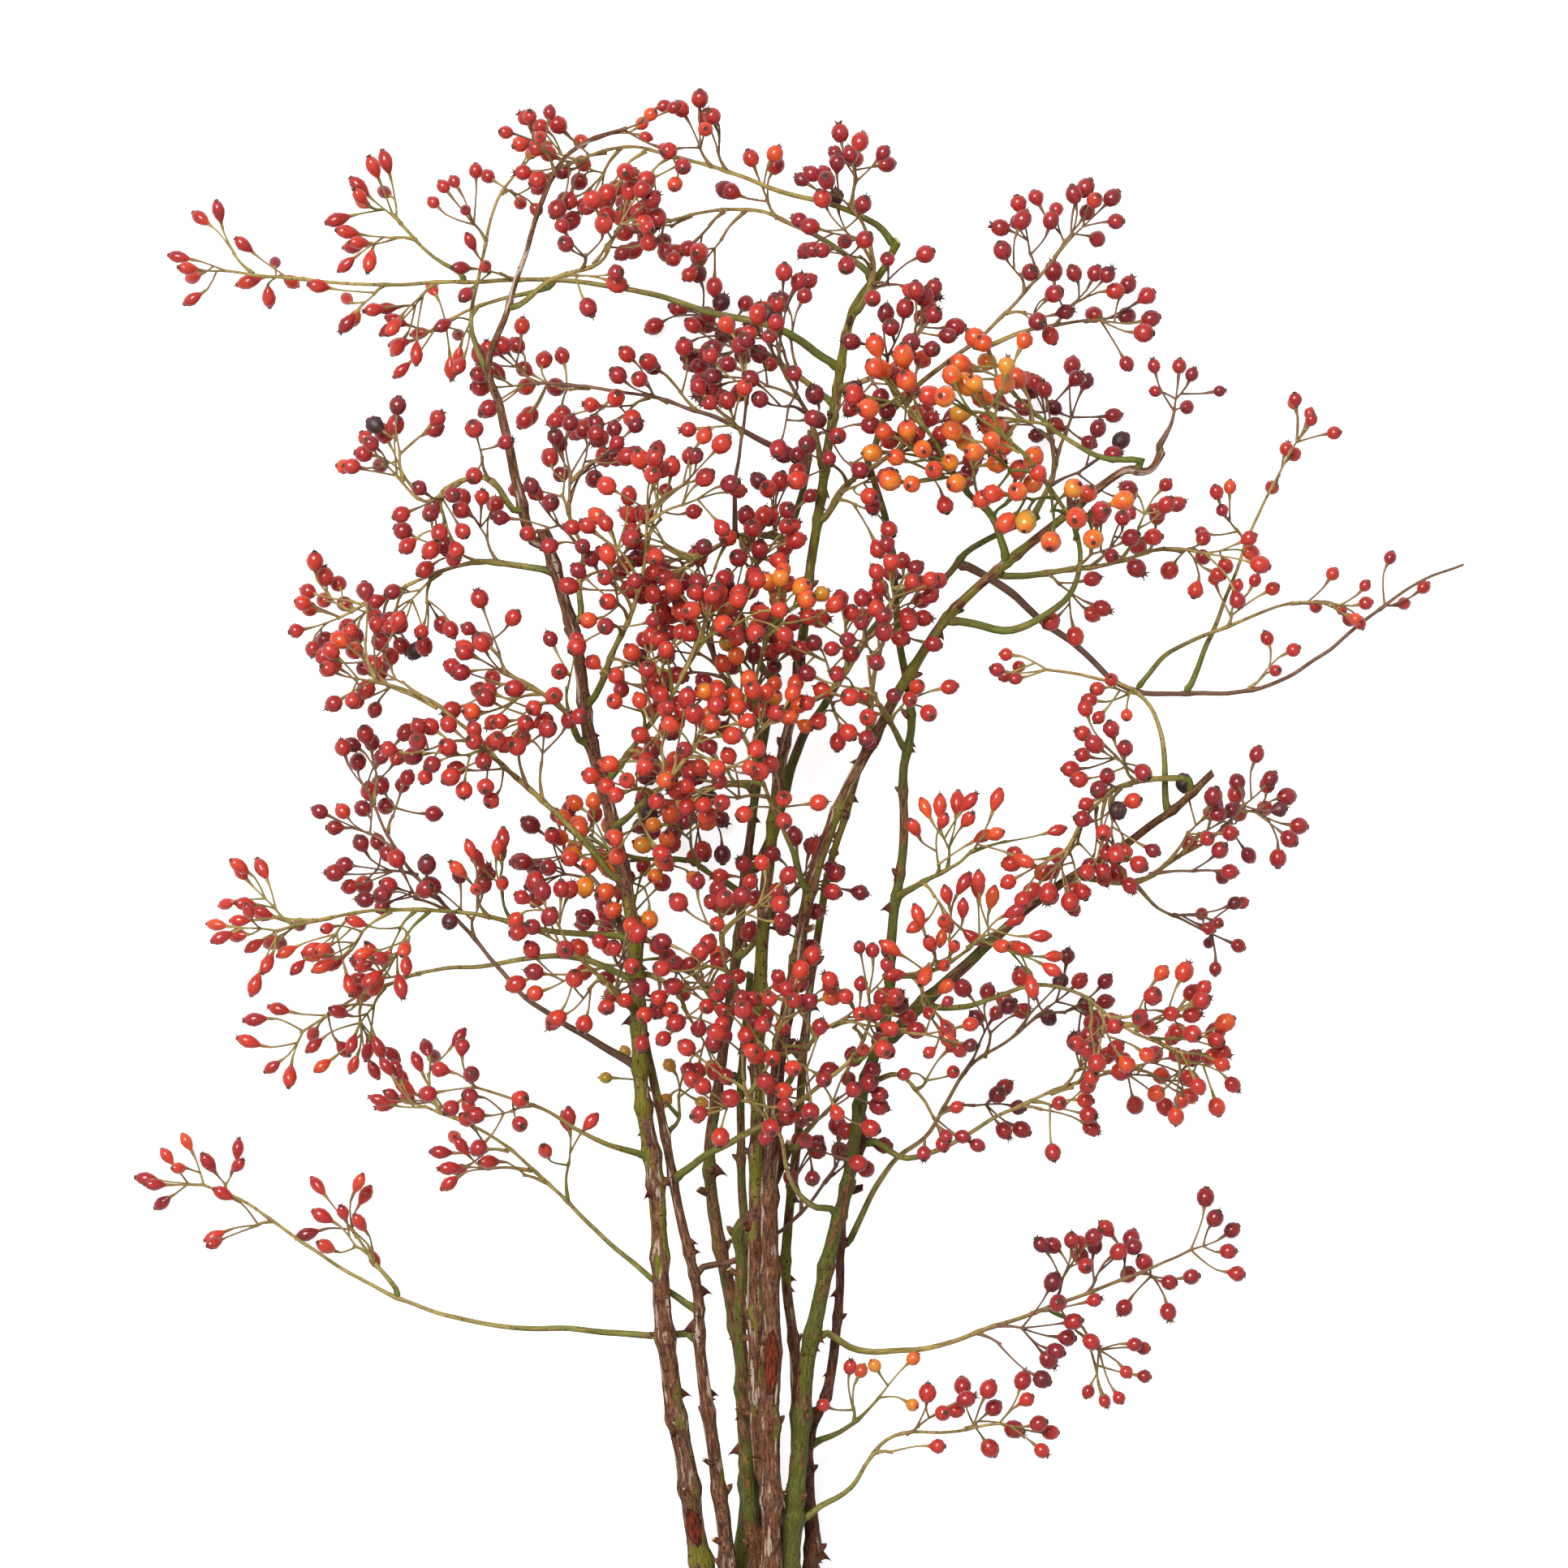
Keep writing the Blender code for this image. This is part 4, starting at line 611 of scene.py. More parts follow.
class Crowd:
    """All that is placed so far, as round-ended rods, found by where they are."""

    CELL = 12.0

    def __init__(self):
        self.cells = {}

    def _keys(self, p, q, pad):
        """The cubes that a rod touches."""
        low = [math.floor((min(p[k], q[k]) - pad) / self.CELL) for k in range(3)]
        high = [math.floor((max(p[k], q[k]) + pad) / self.CELL) for k in range(3)]
        return product(*(range(first, last + 1) for first, last in zip(low, high)))

    def add(self, p, q, radius, piece, family, is_hip=False):
        rod = (p.copy(), q.copy(), radius, piece, family, is_hip)
        for key in self._keys(p, q, radius):
            self.cells.setdefault(key, []).append(rod)

    def free(self, p, q, radius, piece, family, is_hip=False):
        """True when a rod here keeps clear of other pieces and of this piece's other hips."""
        seen = set()
        for key in self._keys(p, q, radius + TWIG_GAP):
            for rod in self.cells.get(key, ()):
                if id(rod) in seen:
                    continue
                seen.add(id(rod))
                r, s, thick, its_piece, its_family, its_hip = rod
                if its_piece == piece:
                    if not (is_hip or its_hip):
                        continue
                    if family == its_family and not (is_hip and its_hip):
                        continue
                if rod_gap(p, q, r, s) < radius + thick + TWIG_GAP:
                    return False
        return True


crowd = Crowd()
for limb in limbs.values():
    for step in range(len(limb.points) - 1):
        crowd.add(limb.points[step], limb.points[step + 1], limb.radius(step), limb.piece, limb.name)
print("cubes in use:", len(crowd.cells))

# %% [markdown]
# ## Heads of hips, grown by rule
#
# Rose hips sit in cymes: a twig ends in a node, and a few stalks spread from the node, each with
# one hip. Placing seventeen hundred by hand isn't sensible, and pure chance looks like noise. A
# plant turns each new shoot by a fixed angle from the last one, about 137 degrees, so that the
# shoots share the light. The same rule is used here, with a little chance added from a generator
# that is seeded with the stem's name. Each run then grows the same bunch.

# %% Cymes
GOLDEN_TURN = 2.4  # radians from one shoot to the next
GOLDEN_SHARE = 0.618
HIP_TRIES = 7
HIPS_A_CYME = 4.2
TURNS_A_ROUND = 4  # so many shoots are tried for each cyme that is wanted
CYME_SIZES = (3, 4, 5, 5, 6)
NO_TWIG = 3.0  # a twig shorter than this isn't there
LOWEST_NODE = 5.0  # above the table
STALK_LENGTH = (10.0, 19.0)
FIRST_TILT, OTHER_TILT = (0.0, 0.4), (0.35, 1.15)
LENGTH_RANGE = (0.95, 1.08)
TWIG_TILT, TWIG_TURN, STALK_TURN = (0.6, 1.1), 0.4, 0.3
TWIG_FLATNESS = 0.8
TWIG_SHARE = (0.45, 1.0)
TWIG_CUT, ROOT_SPARE = 0.6, 1.0  # room for a twig is looked for from just outside its stem
HIP_CLEAR = 0.02  # the lowest hips are this far above the table
TWIG_RADIUS = 0.75
STALK_RADIUS = 0.5
STALK_SINK = 1.4  # how far stalks start inside their twig
# widest radius, smallest radius, length over width
HIP_SHAPES = {
    "round": (3.9, 3.1, 1.10),
    "large": (4.6, 3.7, 1.12),
    "oval": (3.6, 2.9, 1.50),
    "small": (3.0, 2.4, 1.10),
}


def turned(axis, tilt, spin):
    """A direction tilted away from an axis, at a spin round it."""
    side = axis.cross(UP)
    if side.length < 0.1:
        side = Vector((1, 0, 0))
    side.normalize()
    other = side.cross(axis).normalized()
    away = side * math.cos(spin) + other * math.sin(spin)
    return (axis * math.cos(tilt) + away * math.sin(tilt)).normalized()


class Hip:
    """A hip at the end of its stalk."""

    def __init__(self, base, axis, radius, length):
        self.base, self.axis, self.radius, self.length = base, axis, radius, length

    def core(self):
        """The rod that the hip's flesh surrounds."""
        inset = min(self.radius, self.length / 2)
        return self.base + self.axis * inset, self.base + self.axis * (self.length - inset)


class Cyme:
    """A twig with a loose head of hips at its end."""

    def __init__(self, root, end, heading):
        self.root, self.end, self.heading = root, end, heading
        self.hold = end - heading * STALK_SINK
        self.stalks = []


def try_hip(limb, end, heading, number, spin, rng):
    """A hip at the end of a stalk that leaves a cyme's node at a spin, lifted clear of the table."""
    widest, smallest, slim = HIP_SHAPES[limb.shape]
    way = turned(heading, rng.uniform(*(OTHER_TILT if number else FIRST_TILT)), spin)
    stalk = rng.uniform(*STALK_LENGTH)
    radius = rng.uniform(smallest, widest)
    long = 2 * radius * slim * rng.uniform(*LENGTH_RANGE)
    base = end + way * stalk
    base.z = max(base.z, radius - way.z * long / 2)
    hip = Hip(base, (base - end).normalized(), radius, long)
    low, high = hip.core()
    sink = radius + HIP_CLEAR - min(low.z, high.z)
    if sink > 0:
        hip.base = base + Vector((0, 0, sink))
    return hip


def try_cyme(limb, family, root, heading, length, wanted, rng, crowd):
    """Grow one twig with its stalks and hips, or nothing where there is no room."""
    end = root + heading * length
    end.z = max(LOWEST_NODE, end.z)
    if length > NO_TWIG:
        start = root.lerp(end, min(TWIG_CUT, (limb.thin + ROOT_SPARE) / length))
        if not crowd.free(start, end, TWIG_RADIUS, limb.piece, family):
            return None
    cyme = Cyme(root, end, heading)
    spin = rng.uniform(0, math.tau)
    for number in range(wanted):
        for _ in range(HIP_TRIES):
            spin += GOLDEN_TURN + rng.uniform(-STALK_TURN, STALK_TURN)
            hip = try_hip(limb, end, heading, number, spin, rng)
            low, high = hip.core()
            if crowd.free(low, high, hip.radius, limb.piece, family, True) and crowd.free(
                    end, hip.base, STALK_RADIUS, limb.piece, family):
                crowd.add(low, high, hip.radius, limb.piece, family, True)
                crowd.add(end, hip.base, STALK_RADIUS, limb.piece, family)
                cyme.stalks.append(hip)
                break
    if not cyme.stalks:
        return None
    if length > NO_TWIG:
        crowd.add(root, end, TWIG_RADIUS, limb.piece, family)
    return cyme


def place_along(limb, share):
    """The point and the heading at a share of a limb's length."""
    lengths = [(b - a).length for a, b in zip(limb.points, limb.points[1:])]
    left = share * sum(lengths)
    for step, length in enumerate(lengths):
        if left <= length or step == len(lengths) - 1:
            heading = (limb.points[step + 1] - limb.points[step]).normalized()
            return limb.at(step, min(1.0, left / length)), heading
        left -= length


def grow(limb, crowd):
    """The cymes of one limb, the tip's first."""
    rng = random.Random(limb.name)
    cymes = []
    placed, turn = 0, 1 if limb.bare_tip else 0
    rounds = max(2, round(limb.hips / HIPS_A_CYME))
    while placed < limb.hips and turn < rounds * TURNS_A_ROUND:
        share = 1.0 - (1.0 - limb.start) * ((turn * GOLDEN_SHARE) % 1.0) if turn else 1.0
        root, heading = place_along(limb, share)
        wanted = min(limb.hips - placed, rng.choice(CYME_SIZES))
        way, length = heading, 0.0
        if turn:
            spin = turn * GOLDEN_TURN
            way = turned(heading, rng.uniform(*TWIG_TILT), spin + rng.uniform(-TWIG_TURN, TWIG_TURN))
            way.z *= TWIG_FLATNESS
            way.normalize()
            length = limb.reach * rng.uniform(*TWIG_SHARE)
        cyme = try_cyme(limb, f"{limb.name}{turn}", root, way, length, wanted, rng, crowd)
        if cyme:
            cymes.append(cyme)
            placed += len(cyme.stalks)
        turn += 1
    return cymes


# %% [markdown]
# ## Thorns, then the crop
#
# Thorns are placed before the hips, because a hip can give way to a thorn and a thorn can't give
# way to a hip. Both use the crowd above.

# %% Thorns and cymes in their places
THORNS = 5  # on each cane, of the largest kind
THORN_TRIES = 4  # places that are tried for each thorn
THORN_SHARES = (0.22, 0.95)
THORN_TILT = 1.75  # radians from the cane's heading, so a little backwards
THORN_LENGTH = (3.5, 5.5)
THORN_SKIN, THORN_ROOM, THORN_ROD = 0.5, 1.2, 0.8


def thorns_of(limb, crowd, wanted):
    """The feet and tips of hooked thorns on a cane, pointing out and a little back."""
    rng = random.Random(limb.name + " thorns")
    found = []
    for _ in range(wanted * THORN_TRIES):
        if len(found) == wanted:
            break
        share = rng.uniform(*THORN_SHARES)
        foot, heading = place_along(limb, share)
        thick = limb.radius(share * (len(limb.points) - 1))
        way = turned(heading, THORN_TILT, rng.uniform(0, math.tau))
        tip = foot + way * (thick + rng.uniform(*THORN_LENGTH))
        if crowd.free(foot + way * (thick + THORN_SKIN), tip, THORN_ROOM, limb.piece, "thorn"):
            crowd.add(foot, tip, THORN_ROD, limb.piece, "thorn")
            found.append((foot + way * thick, tip))
    return found


thorns = {name: thorns_of(limbs[name], crowd, THORNS) for name in CANES}
cymes = {limb.name: grow(limb, crowd) for limb in stems if limb.hips}
hip_count = sum(len(cyme.stalks) for heads in cymes.values() for cyme in heads)
print("thorns:", sum(len(found) for found in thorns.values()), " cymes:",
      sum(len(heads) for heads in cymes.values()), " hips:", hip_count)

# %% [markdown]
# ## From the layout to the table
#
# The layout counts from its own zero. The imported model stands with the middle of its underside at
# zero, so everything shifts by one vector. The band gives it: its lowest corner is known in both.

# %% The shift
TIE_STEP = 3  # the number of the cane's point where the band's stretch starts
canes = [limbs[name] for name in CANES]
TIE_Y = (TIE_START + TIE_END) / 2
band_low = Vector((min(cane.points[TIE_STEP].x - cane.radius(TIE_STEP) for cane in canes), 0,
                   min(cane.points[TIE_STEP].z - cane.radius(TIE_STEP) for cane in canes)))
band_low -= Vector((TOUCH_GAP + BAND_THICK, BAND_WIDTH / 2 - TIE_Y, TOUCH_GAP + BAND_THICK))
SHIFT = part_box("band")[0] - band_low * MM


def in_frame(point):
    """A point of the layout, in metres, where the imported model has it. Nothing is under the table."""
    place = point * MM + SHIFT
    place.z = max(0.0, place.z)
    return place


print("shift in mm:", [round(x / MM, 2) for x in SHIFT])

# %% [markdown]
# ## Shapes that are made once
#
# A few shapes are repeated all over the bunch: a straight tube, a hip, a scar, a thorn and a bud.
# Each is made once with Blender's own operators, with few faces, because the hip is used seventeen
# hundred times. The tube is a cone operator with two equal radii, cut across into rows. The hip is
# an outline that is spun round its axis, as on a lathe.

# %% The straight tube and turned shapes
BARK, STEM, SKIN, SCAR, WOOD, THORN = range(6)


def mesh_from(bm, name):
    """Hand a finished bmesh over to a mesh."""
    mesh = bpy.data.meshes.new(name)
    bm.to_mesh(mesh)
    bm.free()
    return mesh


def shape_from(bm, name, finish):
    """Turn a bmesh into a mesh with one finish, its faces pointing out."""
    bmesh.ops.recalc_face_normals(bm, faces=bm.faces)
    for face in bm.faces:
        face.smooth = True
        face.material_index = finish
    return mesh_from(bm, name)


@cache
def straight_tube(sides, rows, finish):
    """A closed tube of radius 1 from z = 0 to z = 1, cut into rows, with crisp end rims."""
    bm = bmesh.new()
    bmesh.ops.create_cone(bm, cap_ends=True, segments=sides, radius1=1, radius2=1, depth=1,
                          matrix=Matrix.Translation((0, 0, 0.5)))
    uprights = [edge for edge in bm.edges if abs(edge.verts[0].co.z - edge.verts[1].co.z) > 0.5]
    for edge in bm.edges:
        edge.smooth = edge in uprights
    if rows > 1:
        bmesh.ops.subdivide_edges(bm, edges=uprights, cuts=rows - 1, use_grid_fill=True)
    return shape_from(bm, f"tube_{sides}_{rows}", finish)


def turned_on_a_lathe(bm, outline, sides):
    """Spin an outline of (radius, height) points round the Z axis, and close its two ends."""
    verts = [bm.verts.new((radius, 0, height)) for radius, height in outline]
    edges = [bm.edges.new(pair) for pair in zip(verts, verts[1:])]
    bmesh.ops.spin(bm, geom=verts + edges, axis=UP, cent=(0, 0, 0), angle=math.tau, steps=sides,
                   use_merge=True)
    bmesh.ops.holes_fill(bm, edges=bm.edges, sides=0)


def turned_shape(name, outline, sides, finish):
    bm = bmesh.new()
    turned_on_a_lathe(bm, outline, sides)
    return shape_from(bm, name, finish)


print("a tube of 10 sides and 3 rows has", len(straight_tube(10, 3, STEM).polygons), "faces")

# %% [markdown]
# ## The hip and what is left of its flower
#
# A hip is the swollen cup that held the flower. On these wild roses it is a ball, or an olive that
# runs into its stalk. Opposite the stalk the flower has left a dark round scar with a rim, and some
# hips still carry the dry styles or a few sepals. These are the details that say rose hip and not
# cherry, so the scar is a shape of its own and not a painted spot. Four versions are enough,
# because each copy is turned and stretched a little.

# %% Hips and scars
HIP_AROUND = 12
SCAR_AROUND = 7
HIP_OUTLINES = {
    "ball": [(0.13, 0.0), (0.60, 0.09), (0.95, 0.34), (0.99, 0.60), (0.74, 0.86), (0.34, 0.985)],
    "olive": [(0.12, 0.0), (0.37, 0.10), (0.77, 0.31), (1.0, 0.56), (0.80, 0.80), (0.34, 0.98)],
    "drop": [(0.13, -0.04), (0.28, 0.08), (0.70, 0.28), (0.99, 0.58), (0.78, 0.85), (0.33, 0.985)],
}
SCAR_OUTLINE = [(0.32, -0.12), (0.37, 0.04), (0.31, 0.13), (0.16, 0.02)]
SCAR_WIDTH = 0.37
SCARS = [(0, False), (0, True), (5, False), (3, True)]  # sepals left, styles left
SEPAL = dict(segments=3, radius1=0.12, radius2=0.01, depth=0.55)
SEPAL_PLACE = (0.26, 0.0, 0.05)  # a sepal's foot, on the rim
SEPAL_MIDDLE = 0.25
SEPAL_LEANS = (0.5, 0.75, 1.0)  # radians from upright
TUFT = dict(segments=4, radius1=0.10, radius2=0.05, depth=0.5)
TUFT_MIDDLE, TUFT_LEAN = 0.26, 0.3


def scar_shape(number, sepals, styles):
    """The rim round the flower's scar, with dry sepals round it and a tuft of styles inside."""
    bm = bmesh.new()
    turned_on_a_lathe(bm, SCAR_OUTLINE, SCAR_AROUND)
    for count in range(sepals):
        lean = Matrix.Rotation(SEPAL_LEANS[count % len(SEPAL_LEANS)], 4, "Y")
        out = Matrix.Rotation(math.tau * count / sepals, 4, "Z") @ Matrix.Translation(SEPAL_PLACE)
        stand = out @ lean @ Matrix.Translation(UP * SEPAL_MIDDLE)
        bmesh.ops.create_cone(bm, cap_ends=True, matrix=stand, **SEPAL)
    if styles:
        stand = Matrix.Rotation(TUFT_LEAN, 4, "X") @ Matrix.Translation(UP * TUFT_MIDDLE)
        bmesh.ops.create_cone(bm, cap_ends=True, matrix=stand, **TUFT)
    return shape_from(bm, f"scar_{number}", SCAR)


hip_shapes = {kind: turned_shape("hip_" + kind, outline, HIP_AROUND, SKIN)
              for kind, outline in HIP_OUTLINES.items()}
scar_shapes = [scar_shape(number, *facts) for number, facts in enumerate(SCARS)]
print("faces of a hip and its scar:", len(hip_shapes["ball"].polygons), "+", len(scar_shapes[0].polygons))

# %% [markdown]
# ## The thorn and the bud
#
# A rose thorn is a flat hook with a long foot along the cane. It starts as a tube of six sides.
# Its rows shrink towards the tip and slide back towards the root, which gives the hook in one loop.
# A winter bud is a small pointed knob, turned like the hips.

# %% Thorn and bud
THORN_SIDES, THORN_ROWS = 6, 4
THORN_FOOT = (0.24, 0.58)  # half the foot's width and half its length, for a thorn of 1
THORN_HOOK = 0.5  # how far its tip slides back
THORN_TIP = 0.03  # the tip isn't quite a point
BUD_OUTLINE = [(0.62, -0.25), (0.58, 0.2), (0.38, 0.7), (0.08, 1.0)]
BUD_AROUND = 7


def thorn_shape():
    bm = bmesh.new()
    bm.from_mesh(straight_tube(THORN_SIDES, THORN_ROWS, THORN))
    for vert in bm.verts:
        slim = (1.0 - vert.co.z) ** 1.5 + THORN_TIP
        vert.co.x *= slim * THORN_FOOT[0]
        vert.co.y = vert.co.y * slim * THORN_FOOT[1] - THORN_HOOK * vert.co.z ** 2
    return shape_from(bm, "thorn", THORN)


thorn_template = thorn_shape()
bud_template = turned_shape("bud", BUD_OUTLINE, BUD_AROUND, BARK)
print("thorn and bud faces:", len(thorn_template.polygons), len(bud_template.polygons))

# %% [markdown]
# ## Lines to bend a tube along
#
# A stem that runs straight from point to point looks like bent wire. Blender's own bezier helper
# gives a smooth way between each two points, when the handles follow the line from the point before
# to the point after. At every station along it the tube also needs two directions across the stem.
# They are carried on from one station to the next and only straightened a little, so that the tube
# and the streaks in its bark never twist suddenly.

# %% Smooth lines
HANDLE = 0.36  # the length of a handle, as a share of its stretch
SWELL_LENGTH, SWELL_SHARE = 1.2, 0.7 # a swelling's half length, in mm and in radii
STEEP = 0.2  # a heading whose level part is smaller than this is upright
noise.seed_set(5)  # without a seed, noise vectors change from run to run


def square_to(vector, heading):
    """The direction nearest to a given one that is square to a heading."""
    return (vector - heading * vector.dot(heading)).normalized()


class Line:
    """A smooth line with a thickness, ready for a tube to be bent along it."""

    def __init__(self, points, radii, spacing):
        self.spots, self.radii = [], []
        last = len(points) - 1
        ways = [(points[min(last, k + 1)] - points[max(0, k - 1)]).normalized() for k in range(last + 1)]
        for k in range(last):
            start, end = points[k], points[k + 1]
            reach = (end - start).length * HANDLE
            count = max(1, round((end - start).length / spacing))
            knots = interpolate_bezier(start, start + ways[k] * reach, end - ways[k + 1] * reach, end,
                                       count + 1)
            for step in range(count):
                self.spots.append(Vector(knots[step]))
                self.radii.append(radii[k] + (radii[k + 1] - radii[k]) * step / count)
        self.spots.append(points[-1].copy())
        self.radii.append(radii[-1])
        self._carry_directions()

    def _carry_directions(self):
        last = len(self.spots) - 1
        self.headings = [(self.spots[min(last, k + 1)] - self.spots[max(0, k - 1)]).normalized()
                         for k in range(last + 1)]
        side = self.headings[0].cross(UP)
        if side.length < STEEP:
            side = self.headings[0].cross(Vector((1, 0, 0)))
        self.sides, self.tops, self.far = [], [], [0.0]
        for heading in self.headings:
            side = square_to(side, heading)
            self.sides.append(side.copy())
            self.tops.append(heading.cross(side))
        for before, spot in zip(self.spots, self.spots[1:]):
            self.far.append(self.far[-1] + (spot - before).length)

    @property
    def rows(self):
        return len(self.spots) - 1

    def share(self, step):
        return self.far[step] / self.far[-1]

    def nearest(self, point):
        return min(range(len(self.spots)), key=lambda step: (self.spots[step] - point).length)

    def swell(self, places, amount):
        """Thicken the line softly where a twig or a bud sits. Neighbours don't add up."""
        steps = [self.nearest(place) for place in places]
        for step, radius in enumerate(self.radii):
            gap = min((abs(self.far[step] - self.far[node]) for node in steps), default=math.inf)
            reach = SWELL_LENGTH + SWELL_SHARE * radius
            self.radii[step] *= 1 + amount * math.exp(-(gap / reach) ** 2)

    def wander(self, amount, wave, seed):
        """Let the line stray a little from side to side, as wood does. Its two ends stay put."""
        for step in range(1, len(self.spots) - 1):
            quiet = smooth(min(self.far[step], self.far[-1] - self.far[step]) / wave)
            phase = Vector((seed, self.far[step] / wave, 0.5))
            stray = noise.noise_vector(phase) * amount * quiet
            self.spots[step] += self.sides[step] * stray.x + self.tops[step] * stray.y
        self._carry_directions()


trial = Line([Vector((0, 0, 0)), Vector((20, 10, 0))], [2, 1], 2)
print("a trial line has", trial.rows, "rows and is", round(trial.far[-1], 1), "mm long")

# %% [markdown]
# ## One bmesh for each piece
#
# A spray has forty hips, as many stalks and scars, and a dozen twigs. As separate objects that
# would be thousands for the whole bunch. As one mesh for each cane or spray it stays easy to move
# and to export, and one piece still shows all its finishes, because every face says which material
# it takes.
#
# The materials need to know a few things that only the maker knows: how far along the bark a point
# is, how fresh a twig is, how ripe a hip is. They are written on the vertices as attributes.

# %% The piece
# how rough bark is: strength, lumps round the stem, lumps along it
RELIEF_WAVES = ((1.0, 1.6, 0.09), (0.6, 3.5, 0.31))
WOUND_WIDTH = 0.8  # of a place without bark, as a share of the stem's half width


def into_scene(name, data):
    """A new object in the scene, at the origin."""
    made = bpy.data.objects.new(name, data)
    bpy.context.scene.collection.objects.link(made)
    return made


def between(values, share):
    """A value from a list whose values are spread evenly over a length."""
    place = share * (len(values) - 1)
    step = min(int(place), len(values) - 2)
    return values[step] + (values[step + 1] - values[step]) * (place - step)


class Piece:
    """A mesh in the making, with what its materials will read."""

    def __init__(self, name):
        self.name = name
        self.bm = bmesh.new()
        layers = self.bm.verts.layers
        self.grain = layers.float_vector.new("grain")  # across and along a stem, in metres
        self.tint = layers.float.new("tint")  # a stem's colour, from fresh to dark
        self.ripe = layers.float.new("ripe")  # a hip's ripeness
        self.rise = layers.float.new("rise")  # 0 at a shape's foot, 1 at its far end
        self.core = layers.float.new("core")  # 0 in the middle of a round end, 1 at its rim
        self.torn = layers.float.new("torn")  # 1 in the middle of a place without bark

    def add(self, shape):
        """Append a shape. Returns its own vertices and faces."""
        verts, faces = len(self.bm.verts), len(self.bm.faces)
        self.bm.from_mesh(shape)
        self.bm.verts.ensure_lookup_table()
        self.bm.faces.ensure_lookup_table()
        return self.bm.verts[verts:], self.bm.faces[faces:]

    def bend(self, line, sides, finish, tints, relief=0.0, seed=0.0, wound=None):
        """Bend a straight tube along a line. Relief roughens it, as a share of its radius.

        A wound is the y of a torn place's middle and half its length. Returns the tube's faces.
        """
        verts, faces = self.add(straight_tube(sides, line.rows, finish))
        for vert in verts:
            step = round(vert.co.z * line.rows)
            x, y = vert.co.x, vert.co.y
            radius = line.radii[step]
            along = line.far[step] + seed
            if relief:
                for strength, across, lengthwise in RELIEF_WAVES:
                    lump = noise.noise(Vector((x * across, y * across, along * lengthwise)))
                    radius *= 1 + relief * strength * lump
            vert[self.grain] = Vector((x * radius, y * radius, along)) * MM
            vert[self.tint] = between(tints, line.share(step))
            out = line.sides[step] * x + line.tops[step] * y
            place = line.spots[step] + out * radius
            if wound and out.z > 0:
                off = ((place.y - wound[0]) / wound[1], out.x / WOUND_WIDTH)
                vert[self.torn] = max(0.0, 1 - off[0] ** 2 - off[1] ** 2)
            vert.co = in_frame(place)
        return faces

    def put(self, shape, place, x_way, y_way, z_way):
        """Append a shape with its own axes laid along three given ones. Returns its points."""
        verts, _ = self.add(shape)
        for vert in verts:
            x, y, z = vert.co
            vert[self.rise] = z
            vert[self.core] = math.hypot(x, y) / SCAR_WIDTH
            vert.co = in_frame(place + x_way * x + y_way * y + z_way * z)
        return verts

    def finish(self, slot):
        """Make the object, with only the materials that its faces use, riding on the part."""
        used = sorted({face.material_index for face in self.bm.faces})
        for face in self.bm.faces:
            face.material_index = used.index(face.material_index)
        made = into_scene(self.name + "_grown", mesh_from(self.bm, self.name))
        for finish in used:
            made.data.materials.append(finish_of(finish, slot))
        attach(made, "root")
        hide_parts(self.name)
        return made


# %% [markdown]
# ## A stem and its cut end
#
# Where a branch leaves its cane it swells into a collar, and it starts well inside the cane's wood,
# because the two grew together. A cut end isn't a plain disc. Insetting its face twice gives the
# ring of bark, the pale wood and the soft pith in the middle, and a slight slant shows how the
# secateurs went through.

# %% Stems
COLLAR, COLLAR_LEAN = 2.5, 0.6  # the straight start of a side spray, leaning along its parent
COLLAR_SWELL, COLLAR_NECK = 1.55, 1.2  # how much thicker it is at its root and at the bark
ROOT_IN, ROOT_BACK = 0.3, 0.9  # its root in the parent's wood, as shares of the parent's radius
ROOT_MOST = 0.65  # a root is no thicker than this share of its parent
CANE_STEP, STEM_STEP = 2.4, 3.6
THICK_END = 1.9  # a stem that ends thicker than this ends in a cut
SLANT = 0.35
RINGS_OF_A_CUT = ((0.14, 0.85), (0.5, 0.30))  # how far each ring is inset, and its core value
PITH_DEPTH = 0.12
# a stem is given this many sides or more where its radius is over this
SIDES = ((3.0, 20), (2.2, 14), (1.55, 9), (0.0, 7))
WANDER, WANDER_WAVE = (0.9, 0.7), (34.0, 14.0)  # of a cane and of a spray
TIP_LOOKS = (0.68, 0.74)  # a cane's and a spray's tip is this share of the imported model's
SLIM_EARLY = 1.6  # the slimming is done well before the tip


def thickness(limb, place):
    """The radius of a limb's bark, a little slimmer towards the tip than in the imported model."""
    share = max(0.0, place - limb.held + 1) / (len(limb.points) - limb.held)
    slim = TIP_LOOKS[1 if limb.parent else 0]
    return limb.radius(place) * (1 + (slim - 1) * smooth(share * SLIM_EARLY))


def stem_line(limb):
    """The smooth line of a limb. A branch starts inside its parent and leaves it square."""
    points = [point.copy() for point in limb.points]
    radii = [thickness(limb, step) for step in range(len(points))]
    if limb.parent:
        parent = limbs[limb.parent]
        step, share = limb.root
        along = (parent.points[step + 1] - parent.points[step]).normalized()
        out = square_to(points[1] - points[0], along)
        skin = thickness(parent, step + share)
        inside = points[0] + out * skin * ROOT_IN - along * skin * ROOT_BACK
        bark = points[0] + out * (skin + TOUCH_GAP)
        points[0:1] = [inside, bark, bark + out * COLLAR + along * COLLAR * COLLAR_LEAN]
        radii[0:1] = [min(limb.thick * COLLAR_SWELL, skin * ROOT_MOST), limb.thick * COLLAR_NECK,
                      limb.thick]
    line = Line(points, radii, STEM_STEP if limb.parent else CANE_STEP)
    kind = 1 if limb.parent else 0
    line.wander(WANDER[kind], WANDER_WAVE[kind], len(limb.name) + line.far[-1])
    return line


